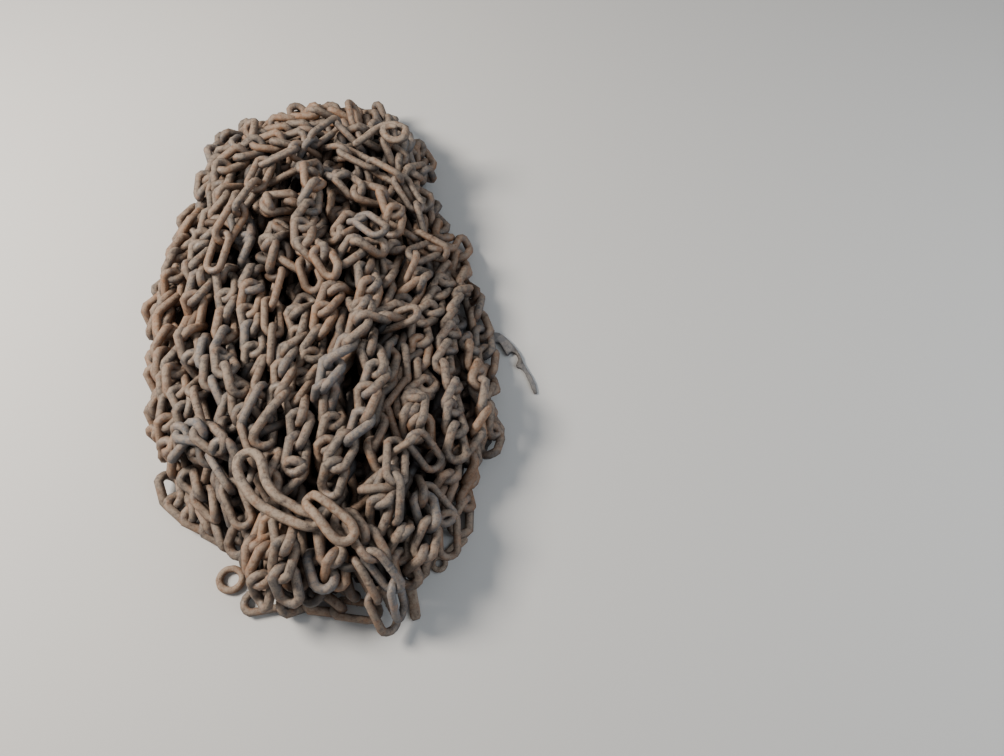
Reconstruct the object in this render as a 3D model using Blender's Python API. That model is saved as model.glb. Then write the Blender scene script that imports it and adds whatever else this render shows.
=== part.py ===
"""Heap of iron chain: long runs of worn chain laid lengthwise over one another in a low mound.

The runs that show are chain, link by link. The links of a run bear on each other and are joined
there. The chain that lies out of sight is one plain core. All sizes are in metres, +Z is up, and the
heap lies along Y with its origin on the floor under the middle of its bounding box.

Places on the heap are given as two shares. Across is -1 at the left foot of the mound and 1 at its
right foot, and past 1 it is on the floor beside it. Along is -1 at the near end and 1 at the far end.
"""

import math

import bmesh
import bpy
import numpy as np
from mathutils import Matrix, Vector
from mathutils.bvhtree import BVHTree

# Chain stock
WIRE_SIDES = 4
BEARING = 0.0015
SEAT_PER_WIRE = 0.68
SHORT_WIRE = 0.0145
SHORT_PITCH = 0.044
SHORT_WIDTH = 0.046
LONG_WIRE = 0.012
LONG_PITCH = 0.060
LONG_WIDTH = 0.043
LINK_ROLL = math.radians(45)
CHAINS = {
    "short": (SHORT_WIRE, SHORT_PITCH, SHORT_WIDTH),
    "long": (LONG_WIRE, LONG_PITCH, LONG_WIDTH),
}

# The mound: half its length and width on the floor, and the height that the runs' middle lines reach
HEAP_HALF_LENGTH = 0.560
HEAP_HALF_WIDTH = 0.311
RUN_HEIGHT = 0.124
END_FULLNESS = 4.0

# Outline of the mound's foot: along, then left and right edge as shares of its half width
FOOTPRINT = (
    (-1.00, 0.03, 0.34),
    (-0.90, -0.42, 0.48),
    (-0.79, -0.69, 0.63),
    (-0.64, -0.69, 0.74),
    (-0.50, -0.80, 0.93),
    (-0.32, -0.96, 0.97),
    (-0.09, -1.00, 0.98),
    (0.14, -0.97, 0.93),
    (0.36, -0.84, 0.90),
    (0.57, -0.71, 0.89),
    (0.75, -0.60, 0.88),
    (0.89, -0.45, 0.77),
    (0.99, -0.23, 0.53),
)

# The core stands this far inside the middle lines of the runs
CORE_SIDE_INSET = 0.026
CORE_TOP_INSET = 0.020
CORE_END_INSET = 0.055
CORE_RIBS = 14
CORE_RINGS = 24

# Laying: the gap that stays where a piece bears on another, and how closely a run follows its bed
GAP = 0.0003
FLOOR_GAP = 0.0002
TRAVEL_STEP = 0.004
PATH_STEP = 0.002
BED_RADIUS = 0.037
BED_SMOOTHING = 0.030
SPINE_SHARE = 0.55

# Runs that lie along the mound, from the floor up: name, chain, and places that they pass. In the
# near half they slant to the left, towards the heavy links
LENGTHWISE = (
    ("left_floor_run", "short", (
        (-1.02, -0.46), (-1.02, -0.20), (-1.00, 0.05), (-0.98, 0.30), (-0.98, 0.57),
    )),
    ("right_floor_run", "short", (
        (1.04, -0.68), (1.02, -0.40), (1.02, -0.10), (1.03, 0.20), (1.01, 0.57),
    )),
    ("left_flank_run", "short", (
        (-0.90, -0.64), (-0.89, -0.30), (-0.84, 0.00), (-0.81, 0.30), (-0.80, 0.77),
    )),
    ("right_flank_run", "short", (
        (0.93, -0.77), (0.90, -0.45), (0.86, -0.20), (0.90, 0.10), (0.86, 0.74),
    )),
    ("left_side_run", "long", (
        (-0.70, -0.80), (-0.70, -0.50), (-0.67, -0.18), (-0.62, 0.15), (-0.64, 0.77),
    )),
    ("right_side_run", "short", (
        (0.68, -0.86), (0.62, -0.60), (0.62, -0.34), (0.70, -0.10), (0.72, 0.30), (0.66, 0.79),
    )),
    ("left_shoulder_run", "short", (
        (-0.44, -0.89), (-0.47, -0.60), (-0.44, -0.30), (-0.44, 0.00), (-0.44, 0.74),
    )),
    ("right_shoulder_run", "long", (
        (0.44, -0.90), (0.42, -0.55), (0.46, -0.38), (0.56, -0.14), (0.54, 0.30), (0.47, 0.75),
    )),
    ("left_inner_run", "short", ((-0.35, -0.36), (-0.31, -0.10), (-0.30, 0.25), (-0.32, 0.60))),
    ("left_ridge_run", "long", (
        (-0.34, -0.50), (-0.22, -0.32), (-0.12, -0.10), (-0.10, 0.20), (-0.12, 0.62),
    )),
    ("right_ridge_run", "short", (
        (0.06, -0.70), (0.13, -0.50), (0.25, -0.38), (0.32, -0.22), (0.35, 0.00), (0.31, 0.58),
    )),
    ("middle_run", "short", (
        (-0.20, -0.60), (-0.08, -0.42), (0.05, -0.22), (0.13, -0.06), (0.13, 0.20), (0.09, 0.64),
    )),
)

# Runs that lie on the floor at the foot of the mound: name, chain, and places that they pass
BESIDE = (
    ("near_end_run", "long", (
        (-1.07, -0.84), (-0.70, -0.90), (-0.25, -0.94), (0.30, -0.98), (0.80, -0.98), (1.10, -0.90),
    )),
    ("far_end_run", "short", (
        (-0.97, 0.74), (-0.80, 0.88), (-0.30, 0.94), (0.30, 0.95), (0.76, 0.89), (1.02, 0.72),
    )),
    ("left_loop_run", "short", ((-1.14, -0.36), (-1.22, -0.50), (-1.20, -0.61), (-1.11, -0.71))),
)

# Runs that cross over the others: name, chain, and places that they pass
CROSSING = (
    ("upper_left_run", "short", (
        (0.22, 0.44), (0.16, 0.32), (0.12, 0.20), (0.16, 0.08), (0.22, -0.04),
    )),
    ("upper_right_run", "short", ((0.36, 0.18), (0.44, 0.06), (0.42, -0.10), (0.42, -0.24))),
    ("far_folded_run", "long", ((0.12, 0.52), (-0.20, 0.43), (-0.38, 0.27), (-0.50, 0.12))),
    ("far_saddle_run", "long", ((0.30, 0.52), (0.58, 0.46), (0.78, 0.36), (0.90, 0.18))),
    ("far_brow_run", "short", ((-0.74, 0.60), (-0.50, 0.73), (0.00, 0.77), (0.50, 0.76), (0.80, 0.66))),
    ("near_folded_run", "long", ((0.14, -0.70), (0.36, -0.84), (0.56, -0.95))),
    ("near_brow_run", "short", ((-0.18, -0.70), (-0.18, -0.82), (-0.30, -0.92))),
)

# Heavy links that join two chains, from the big connecting link on: pitch, wire, width, turn, roll
HEAVY_PLACE = (-0.51, -0.53)
HEAVY_LINKS = (
    (0.124, 0.016, 0.050, math.radians(-56), math.radians(10)),
    (0.060, 0.014, 0.046, math.radians(-52), math.radians(80)),
    (0.050, 0.014, 0.046, math.radians(-46), math.radians(-15)),
)

# The ring that ends a chain at the near left
RING_PLACE = (-1.15, -0.79)
RING_DIAMETER = 0.046
RING_WIRE = 0.011
RING_CORNERS = 14

# The flat lever fastener at the right foot. Its outline is in shares of its length and width,
# with its root at the origin
LEVER_PLACE = (1.13, -0.11)
LEVER_TURN = math.radians(-58)
LEVER_LENGTH = 0.156
LEVER_WIDTH = 0.036
LEVER_THICKNESS = 0.009
LEVER_OUTLINE = (
    (0.00, -0.28), (0.19, -0.39), (0.36, -0.36), (0.42, -0.11), (0.49, -0.25), (0.64, -0.28), (0.82, -0.33),
    (0.97, -0.61), (1.00, -0.47), (0.87, -0.03), (0.71, 0.17), (0.51, 0.31), (0.29, 0.39), (0.00, 0.28),
)

# The flat bar with an eye at the near right
EYE_BAR_PLACE = (1.30, -0.90)
EYE_BAR_TURN = math.radians(32)
EYE_BAR_THICKNESS = 0.007
EYE_BAR_LENGTH = 0.062
EYE_BAR_WIDTH = 0.014
EYE_DIAMETER = 0.030
EYE_HOLE = 0.013
EYE_CORNERS = 14

# The flat bar end that sticks out of the near end
BAR_END_PLACE = (0.95, -0.96)
BAR_END_TURN = math.radians(-86)
BAR_END_LENGTH = 0.055
BAR_END_WIDTH = 0.015
BAR_END_THICKNESS = 0.006

# The curled hook that ends a chain at the far right
HOOK_PLACE = (0.80, 0.55)
HOOK_TURN = math.radians(34)
HOOK_WIRE = 0.013
HOOK_DIAMETER = 0.044
HOOK_SHANK = 0.062
HOOK_OPENING = math.radians(70)
HOOK_CORNERS = 12
ROUND_BAR_SIDES = 6

DOWN = Vector((0, 0, -1))


def clear_scene():
    """Removes what the startup file put there."""
    for obj in list(bpy.data.objects):
        bpy.data.objects.remove(obj)


def iron(name, colour, roughness):
    """A weathered iron material."""
    material = bpy.data.materials.new(name)
    material.use_nodes = True
    shader = material.node_tree.nodes["Principled BSDF"]
    shader.inputs["Base Color"].default_value = (*colour, 1.0)
    shader.inputs["Roughness"].default_value = roughness
    shader.inputs["Metallic"].default_value = 0.35
    return material


def smooth_between(at, values, places):
    """Values on a smooth curve through stations, by Hermite pieces."""
    places = np.clip(places, at[0], at[-1])
    i = np.clip(np.searchsorted(at, places, side="right") - 1, 0, len(at) - 2)
    span = at[i + 1] - at[i]
    s = (places - at[i]) / span
    slopes = np.gradient(values, at)
    return (
        (2 * s**3 - 3 * s**2 + 1) * values[i]
        + (s**3 - 2 * s**2 + s) * span * slopes[i]
        + (3 * s**2 - 2 * s**3) * values[i + 1]
        + (s**3 - s**2) * span * slopes[i + 1]
    )


def middle_and_half(along):
    """The middle of the mound's foot and half its width, at shares along it."""
    stations = np.array(FOOTPRINT)
    left, right = (smooth_between(stations[:, 0], stations[:, k], along) for k in (1, 2))
    return (left + right) / 2 * HEAP_HALF_WIDTH, (right - left) / 2 * HEAP_HALF_WIDTH


def spot(across, along):
    """The floor place x, y of two shares, for the middle line of a run."""
    middle, half = middle_and_half(along)
    return middle + across * (half - SHORT_WIDTH / 2), along * HEAP_HALF_LENGTH


def end_rise(along):
    """How full the mound still is towards its ends, from 1 in the middle to 0."""
    return np.sqrt(np.clip(1 - np.abs(along) ** END_FULLNESS, 0, 1))


def mound_height(x, y):
    """The height of a run's middle line over the floor place x, y."""
    along = y / HEAP_HALF_LENGTH
    middle, half = middle_and_half(along)
    across = (x - middle) / (half - SHORT_WIDTH / 2)
    foot = SHORT_WIDTH / 2
    return foot + (RUN_HEIGHT - foot) * np.sqrt(np.clip(1 - across**2, 0, 1)) * end_rise(along)


def run_normal(x, y):
    """The outward direction of the mound over the floor place x, y."""
    along = np.clip(y / HEAP_HALF_LENGTH, -0.999, 0.999)
    middle, half = middle_and_half(along)
    across = np.clip((x - middle) / half, -0.999, 0.999)
    steep_side = RUN_HEIGHT * across / (half * math.sqrt(1 - across**2))
    steep_end = RUN_HEIGHT / HEAP_HALF_LENGTH * END_FULLNESS / 2 * abs(along) ** (END_FULLNESS - 1)
    steep_end *= math.copysign(1, along) / end_rise(along)
    return Vector((steep_side, steep_end, 1.0)).normalized()


def inward_from(x, y):
    """The level direction from a floor place to the nearest point of the mound's spine."""
    spine = HEAP_HALF_LENGTH * SPINE_SHARE
    nearest = np.clip(y, -spine, spine)
    middle, _ = middle_and_half(nearest / HEAP_HALF_LENGTH)
    return Vector((middle - x, nearest - y, 0)).normalized()


def plan_through(places):
    """A smooth dense line on the floor plan through places on the heap."""
    points = np.array([spot(*place) for place in places])
    at = np.concatenate([[0], np.cumsum(np.linalg.norm(np.diff(points, axis=0), axis=1))])
    steps = np.arange(0, at[-1], PATH_STEP)
    return np.stack([smooth_between(at, points[:, k], steps) for k in (0, 1)], axis=1)


def bed_height(plan, bed):
    """The lowest heights at which a run can follow a plan over the mound and the runs below it."""
    heights = mound_height(plan[:, 0], plan[:, 1])
    if len(bed):
        apart = np.linalg.norm(plan[:, None, :2] - bed[None, :, :2], axis=2)
        over = np.sqrt(np.clip(BED_RADIUS**2 - apart**2, 0, None))
        tops = np.where(apart < BED_RADIUS, bed[None, :, 2] + over, 0.0)
        heights = np.maximum(heights, tops.max(axis=1))
    reach = int(BED_SMOOTHING / PATH_STEP)
    padded = np.pad(heights, reach, mode="edge")
    highest = np.array([padded[k : k + 2 * reach + 1].max() for k in range(len(heights))])
    padded = np.pad(highest, reach, mode="edge")
    return np.array([padded[k : k + 2 * reach + 1].mean() for k in range(len(heights))])


def steps_of(path, pitch):
    """Points along a dense path, each one pitch from the last, where a link bears on the next."""
    joints = [path[0]]
    for point in path[1:]:
        toward = point - joints[-1]
        if np.linalg.norm(toward) >= pitch:
            joints.append(joints[-1] + toward * pitch / np.linalg.norm(toward))
    return joints


def equal_area_radius(wire, sides):
    """The corner radius of a bar with flat sides and the same area as round wire."""
    return wire / 2 * math.sqrt(2 * math.pi / (sides * math.sin(2 * math.pi / sides)))


def loop_corners(half_length, half_width, wire):
    """The eight corners of a link's middle line: two flat seats, two long sides and cut corners."""
    seat = min(SEAT_PER_WIRE * wire, half_width)
    side = half_length - (half_width - seat)
    quarter = [(half_length, seat), (side, half_width)]
    upper = quarter + [(-x, y) for x, y in reversed(quarter)]
    return upper + [(-x, -y) for x, y in upper]


def add_bar(mesh, place, line, wire, sides, closed=True):
    """Adds round stock bent along a flat line. An open bar gets flat ends."""
    radius = equal_area_radius(wire, sides)
    rings = []
    for k, corner in enumerate(line):
        here = Vector(corner)
        before = here - Vector(line[k - 1])
        after = Vector(line[(k + 1) % len(line)]) - here
        if not closed and k == 0:
            before = after
        if not closed and k == len(line) - 1:
            after = before
        out_before = Vector((before.y, -before.x)).normalized()
        out_after = Vector((after.y, -after.x)).normalized()
        mitre = (out_before + out_after) / (1 + out_before.dot(out_after))
        ring = []
        for j in range(sides):
            angle = 2 * math.pi * (j + 0.5) / sides
            flat = here + radius * math.cos(angle) * mitre
            ring.append(mesh.verts.new(place @ Vector((*flat, radius * math.sin(angle)))))
        rings.append(ring)
    for k in range(len(rings) - (0 if closed else 1)):
        ring, following = rings[k], rings[(k + 1) % len(rings)]
        for j in range(sides):
            i = (j + 1) % sides
            mesh.faces.new((ring[j], following[j], following[i], ring[i]))
    if not closed:
        mesh.faces.new(rings[0])
        mesh.faces.new(rings[-1][::-1])


def add_link(mesh, place, pitch, width, wire):
    """Adds one closed link, with its length along the X axis of place."""
    face_distance = equal_area_radius(wire, WIRE_SIDES) * math.cos(math.pi / WIRE_SIDES)
    corners = loop_corners((pitch - BEARING) / 2 + face_distance, (width - wire) / 2, wire)
    add_bar(mesh, place, corners, wire, WIRE_SIDES)


def add_plate(mesh, place, outline, thickness):
    """Adds a flat plate of even thickness that stands on the level of place."""
    lower = [mesh.verts.new(place @ Vector((x, y, 0))) for x, y in outline]
    upper = [mesh.verts.new(place @ Vector((x, y, thickness))) for x, y in outline]
    mesh.faces.new(lower[::-1])
    mesh.faces.new(upper)
    for k in range(len(outline)):
        i = (k + 1) % len(outline)
        mesh.faces.new((lower[k], lower[i], upper[i], upper[k]))


def mesh_object(name, mesh, material):
    """Turns a bmesh into an object in the scene."""
    bmesh.ops.recalc_face_normals(mesh, faces=mesh.faces)
    data = bpy.data.meshes.new(name)
    mesh.to_mesh(data)
    mesh.free()
    data.materials.append(material)
    obj = bpy.data.objects.new(name, data)
    bpy.context.scene.collection.objects.link(obj)
    return obj


def cut_or_join(obj, helper, operation):
    """Joins helper to obj, or cuts it away, and leaves one plain mesh."""
    helper.hide_render = True
    helper.display_type = "WIRE"
    step = obj.modifiers.new("shape", "BOOLEAN")
    step.operation = operation
    step.solver = "EXACT"
    step.object = helper
    bpy.context.view_layer.update()
    graph = bpy.context.evaluated_depsgraph_get()
    shaped = bpy.data.meshes.new_from_object(obj.evaluated_get(graph))
    obj.modifiers.clear()
    obj.data = shaped
    bpy.data.objects.remove(helper)
    return obj


def link_place(start, end, roll):
    """The placing matrix of a link that reaches from one bearing point to the next."""
    start, end = Vector(start), Vector(end)
    middle = (start + end) / 2
    along = (end - start).normalized()
    across = run_normal(middle.x, middle.y).cross(along).normalized()
    frame = Matrix((along, across, along.cross(across))).transposed()
    frame = frame @ Matrix.Rotation(roll, 3, "X")
    return Matrix.Translation(middle) @ frame.to_4x4()


def make_linked(name, links, material):
    """Links that bear on one another, joined there. Each is start, end, width, wire, roll."""
    halves = [bmesh.new(), bmesh.new()]
    for k, (start, end, width, wire, roll) in enumerate(links):
        pitch = (Vector(end) - Vector(start)).length
        add_link(halves[k % 2], link_place(start, end, roll), pitch, width, wire)
    every_second = mesh_object(name, halves[0], material)
    return cut_or_join(every_second, mesh_object(name + "_others", halves[1], material), "UNION")


def make_run(name, chain, path, material):
    """One run of chain along a path, with its links rolled to either side in turn."""
    wire, pitch, width = CHAINS[chain]
    joints = steps_of(path, pitch)
    links = [
        (start, end, width, wire, LINK_ROLL if k % 2 else -LINK_ROLL)
        for k, (start, end) in enumerate(zip(joints, joints[1:]))
    ]
    return make_linked(name, links, material)


def make_heavy_links(material, bed):
    """The heavy links, from the big connecting link on."""
    points = [Vector(spot(*HEAVY_PLACE))]
    for pitch, _, _, turn, _ in HEAVY_LINKS:
        points.append(points[-1] + Vector((pitch * math.cos(turn), pitch * math.sin(turn))))
    heights = bed_height(np.array(points), bed)
    joints = [Vector((*point, height)) for point, height in zip(points, heights)]
    links = [
        (start, end, width, wire, roll)
        for start, end, (_, wire, width, _, roll) in zip(joints, joints[1:], HEAVY_LINKS)
    ]
    return make_linked("heavy_links", links, material)


def standing(place, turn, height=0.0):
    """A placing matrix by a place on the heap, which way it faces and a height over the floor."""
    return Matrix.Translation((*spot(*place), height)) @ Matrix.Rotation(turn, 4, "Z")


def make_ring(material):
    """The round ring that ends a chain."""
    radius = (RING_DIAMETER - RING_WIRE) / 2
    turns = np.arange(RING_CORNERS) * 2 * math.pi / RING_CORNERS
    line = [(radius * math.cos(a), radius * math.sin(a)) for a in turns]
    mesh = bmesh.new()
    add_bar(mesh, standing(RING_PLACE, 0.0, RING_WIRE), line, RING_WIRE, ROUND_BAR_SIDES)
    return mesh_object("end_ring", mesh, material)


def make_lever(material):
    """The flat lever fastener, with its notch and its thin tail."""
    outline = [(x * LEVER_LENGTH, y * LEVER_WIDTH) for x, y in LEVER_OUTLINE]
    mesh = bmesh.new()
    add_plate(mesh, standing(LEVER_PLACE, LEVER_TURN), outline, LEVER_THICKNESS)
    return mesh_object("lever_fastener", mesh, material)


def make_eye_bar(material):
    """The flat bar with a punched eye."""
    place = standing(EYE_BAR_PLACE, EYE_BAR_TURN)
    half, radius = EYE_BAR_WIDTH / 2, EYE_DIAMETER / 2
    neck = math.asin(half / radius)
    turns = np.linspace(neck, 2 * math.pi - neck, EYE_CORNERS)
    outline = [(radius * math.cos(a), radius * math.sin(a)) for a in turns]
    outline += [(EYE_BAR_LENGTH, -half), (EYE_BAR_LENGTH, half)]
    mesh = bmesh.new()
    add_plate(mesh, place, outline, EYE_BAR_THICKNESS)
    bar = mesh_object("eye_bar", mesh, material)
    drill = bmesh.new()
    bmesh.ops.create_cone(
        drill, segments=EYE_CORNERS, radius1=EYE_HOLE / 2, radius2=EYE_HOLE / 2, cap_ends=True,
        depth=3 * EYE_BAR_THICKNESS, matrix=place @ Matrix.Translation((0, 0, EYE_BAR_THICKNESS / 2)),
    )
    return cut_or_join(bar, mesh_object("eye_drill", drill, material), "DIFFERENCE")


def make_bar_end(material):
    """The flat bar end that sticks out of the near end."""
    half = BAR_END_WIDTH / 2
    outline = [(0, -half), (BAR_END_LENGTH, -half), (BAR_END_LENGTH, half), (0, half)]
    mesh = bmesh.new()
    add_plate(mesh, standing(BAR_END_PLACE, BAR_END_TURN), outline, BAR_END_THICKNESS)
    return mesh_object("bar_end", mesh, material)


def make_hook(material, bed):
    """The curled hook: a straight shank that ends in an open curl."""
    radius = (HOOK_DIAMETER - HOOK_WIRE) / 2
    turns = np.linspace(math.pi / 2, HOOK_OPENING - 1.5 * math.pi, HOOK_CORNERS)
    line = [(-HOOK_SHANK, radius)] + [(radius * math.cos(a), radius * math.sin(a)) for a in turns]
    x, y = spot(*HOOK_PLACE)
    height = bed_height(np.array([(x, y)]), bed)[0]
    tilt = run_normal(x, y).to_track_quat("Z", "Y").to_matrix().to_4x4()
    place = Matrix.Translation((x, y, height)) @ tilt @ Matrix.Rotation(HOOK_TURN, 4, "Z")
    mesh = bmesh.new()
    add_bar(mesh, place, line, HOOK_WIRE, ROUND_BAR_SIDES, closed=False)
    return mesh_object("end_hook", mesh, material)


def make_core(material):
    """The hidden chain, as one plain closed mound with a flat base on the floor."""
    end = 1 - CORE_END_INSET / HEAP_HALF_LENGTH
    height = RUN_HEIGHT - CORE_TOP_INSET
    mesh = bmesh.new()
    rows = []
    for i in range(1, CORE_RINGS):
        share = -math.cos(math.pi * i / CORE_RINGS)
        middle, half = middle_and_half(share * end)
        half = half - SHORT_WIDTH / 2 - CORE_SIDE_INSET
        row = []
        for j in range(CORE_RIBS + 1):
            turn = math.pi * j / CORE_RIBS
            z = height * math.sin(turn) * end_rise(share)
            x = middle - half * math.cos(turn)
            row.append(mesh.verts.new((x, share * end * HEAP_HALF_LENGTH, z)))
        rows.append(row)
    for first, second in zip(rows, rows[1:]):
        for j in range(CORE_RIBS):
            mesh.faces.new((first[j], first[j + 1], second[j + 1], second[j]))
    mesh.faces.new(rows[0])
    mesh.faces.new(rows[-1][::-1])
    mesh.faces.new([row[0] for row in rows] + [row[-1] for row in reversed(rows)])
    bmesh.ops.triangulate(mesh, faces=mesh.faces)
    return mesh_object("core", mesh, material)


def tree_of(obj, offset=Vector()):
    """A search tree of an object's mesh, moved by offset."""
    points = [v.co + offset for v in obj.data.vertices]
    return BVHTree.FromPolygons(points, [tuple(p.vertices) for p in obj.data.polygons])


def advance(obj, laid, direction, reach):
    """Backs obj off until it is clear of what was laid, then moves it on until it bears.

    The way on ends after reach if nothing is met. It says whether something was.
    """
    def is_clear(distance):
        return not any(tree_of(obj, direction * distance).overlap(tree) for tree in laid)

    free = 0.0
    while not is_clear(free):
        free -= TRAVEL_STEP
    stopped = free
    while is_clear(stopped):
        free = stopped
        if free >= reach:
            break
        stopped = min(free + TRAVEL_STEP, reach)
    bears = not is_clear(stopped)
    while bears and stopped - free > GAP / 10:
        middle = (free + stopped) / 2
        free, stopped = (middle, stopped) if is_clear(middle) else (free, middle)
    obj.data.transform(Matrix.Translation(direction * (free - GAP if bears else free)))
    return bears


def seat_on_heap(obj, laid):
    """Lowers obj on to what was laid, or on to the floor and then against the mound."""
    lowest = min(v.co.z for v in obj.data.vertices)
    if not advance(obj, laid, DOWN, lowest - FLOOR_GAP):
        seat_beside(obj, laid)
        return
    laid.append(tree_of(obj))


def seat_beside(obj, laid):
    """Puts obj on the floor and moves it against the mound."""
    lowest = min(v.co.z for v in obj.data.vertices)
    obj.data.transform(Matrix.Translation(DOWN * (lowest - FLOOR_GAP)))
    low, high = (Vector(f(v.co[k] for v in obj.data.vertices) for k in range(3)) for f in (min, max))
    middle = (low + high) / 2
    advance(obj, laid, inward_from(middle.x, middle.y), HEAP_HALF_WIDTH)
    laid.append(tree_of(obj))


def centre_on_floor():
    """Moves the whole heap so that the origin is under the middle of its bounding box."""
    points = np.array([v.co for obj in bpy.data.objects for v in obj.data.vertices])
    low, high = points.min(axis=0), points.max(axis=0)
    shift = Vector((-(low[0] + high[0]) / 2, -(low[1] + high[1]) / 2, -low[2]))
    for obj in bpy.data.objects:
        obj.data.transform(Matrix.Translation(shift))


def main():
    """Builds the heap from the core outwards."""
    clear_scene()
    dark = iron("hidden_iron", (0.055, 0.045, 0.038), 0.95)
    rusty = iron("rusty_iron", (0.23, 0.165, 0.125), 0.85)
    worn = iron("worn_iron", (0.30, 0.20, 0.14), 0.80)
    grey = iron("grey_iron", (0.26, 0.25, 0.24), 0.75)
    laid = [tree_of(make_core(dark))]
    bed = np.zeros((0, 3))
    every = max(1, int(LONG_WIRE / PATH_STEP))
    for name, chain, places in LENGTHWISE + CROSSING:
        plan = plan_through(places)
        path = np.column_stack([plan, bed_height(plan, bed)])
        seat_on_heap(make_run(name, chain, path, rusty), laid)
        bed = np.concatenate([bed, path[::every]])
    for name, chain, places in BESIDE:
        plan = plan_through(places)
        path = np.column_stack([plan, np.full(len(plan), SHORT_WIDTH / 2)])
        seat_beside(make_run(name, chain, path, rusty), laid)
    seat_on_heap(make_heavy_links(worn, bed), laid)
    seat_on_heap(make_hook(worn, bed), laid)
    for piece in (make_ring(worn), make_lever(grey), make_eye_bar(worn), make_bar_end(worn)):
        seat_beside(piece, laid)
    centre_on_floor()


main()
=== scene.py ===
"""Looks of the heap of iron chain.

Every link is laid along the runs that the heap shows, settled against its neighbours, and
dressed in pitted rust, dust and wear, and darkened with painted shade where other links
cover it. The special ends and the heavy joining links are pieces of their own.

Lengths are in metres and turns in radians, if nothing else is said.
"""

from __future__ import annotations

import logging
import math
from collections import Counter
from dataclasses import dataclass, field, replace
from enum import Enum

import bmesh
import bpy
import numpy as np
from mathutils import Matrix, Vector

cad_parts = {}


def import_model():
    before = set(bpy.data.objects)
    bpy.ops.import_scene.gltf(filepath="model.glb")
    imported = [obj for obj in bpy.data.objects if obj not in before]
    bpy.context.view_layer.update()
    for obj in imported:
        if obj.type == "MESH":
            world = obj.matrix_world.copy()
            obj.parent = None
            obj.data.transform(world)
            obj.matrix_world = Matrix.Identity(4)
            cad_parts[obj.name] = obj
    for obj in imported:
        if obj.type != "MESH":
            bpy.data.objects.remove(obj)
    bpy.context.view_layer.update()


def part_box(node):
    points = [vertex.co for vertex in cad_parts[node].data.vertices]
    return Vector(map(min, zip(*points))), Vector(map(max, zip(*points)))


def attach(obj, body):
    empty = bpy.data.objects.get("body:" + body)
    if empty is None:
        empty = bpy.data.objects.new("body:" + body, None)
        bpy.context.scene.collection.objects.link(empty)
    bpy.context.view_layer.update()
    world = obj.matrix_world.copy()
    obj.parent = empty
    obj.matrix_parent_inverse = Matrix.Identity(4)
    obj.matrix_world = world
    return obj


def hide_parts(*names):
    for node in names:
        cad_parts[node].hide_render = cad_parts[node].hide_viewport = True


log = logging.getLogger("chain_heap")

Spot = tuple[float, float]
Tint = tuple[float, float, float]

TINY = 1e-9
ABOUT_A_TURN = 6.3


# the mound and the place that it is seen from


def curve_through(at: np.ndarray, values: np.ndarray, places: np.ndarray) -> np.ndarray:
    """Values on a smooth curve through stations.

    Args:
        at: The stations, rising.
        values: One value for each station.
        places: Where the curve is read.

    Returns:
        The curve's value at each place.
    """
    places = np.clip(places, at[0], at[-1])
    i = np.clip(np.searchsorted(at, places, side="right") - 1, 0, len(at) - 2)
    span = at[i + 1] - at[i]
    s = (places - at[i]) / span
    slopes = np.gradient(values, at)
    return (
        (2 * s**3 - 3 * s**2 + 1) * values[i]
        + (s**3 - 2 * s**2 + s) * span * slopes[i]
        + (3 * s**2 - 2 * s**3) * values[i + 1]
        + (s**3 - s**2) * span * slopes[i + 1]
    )


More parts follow.
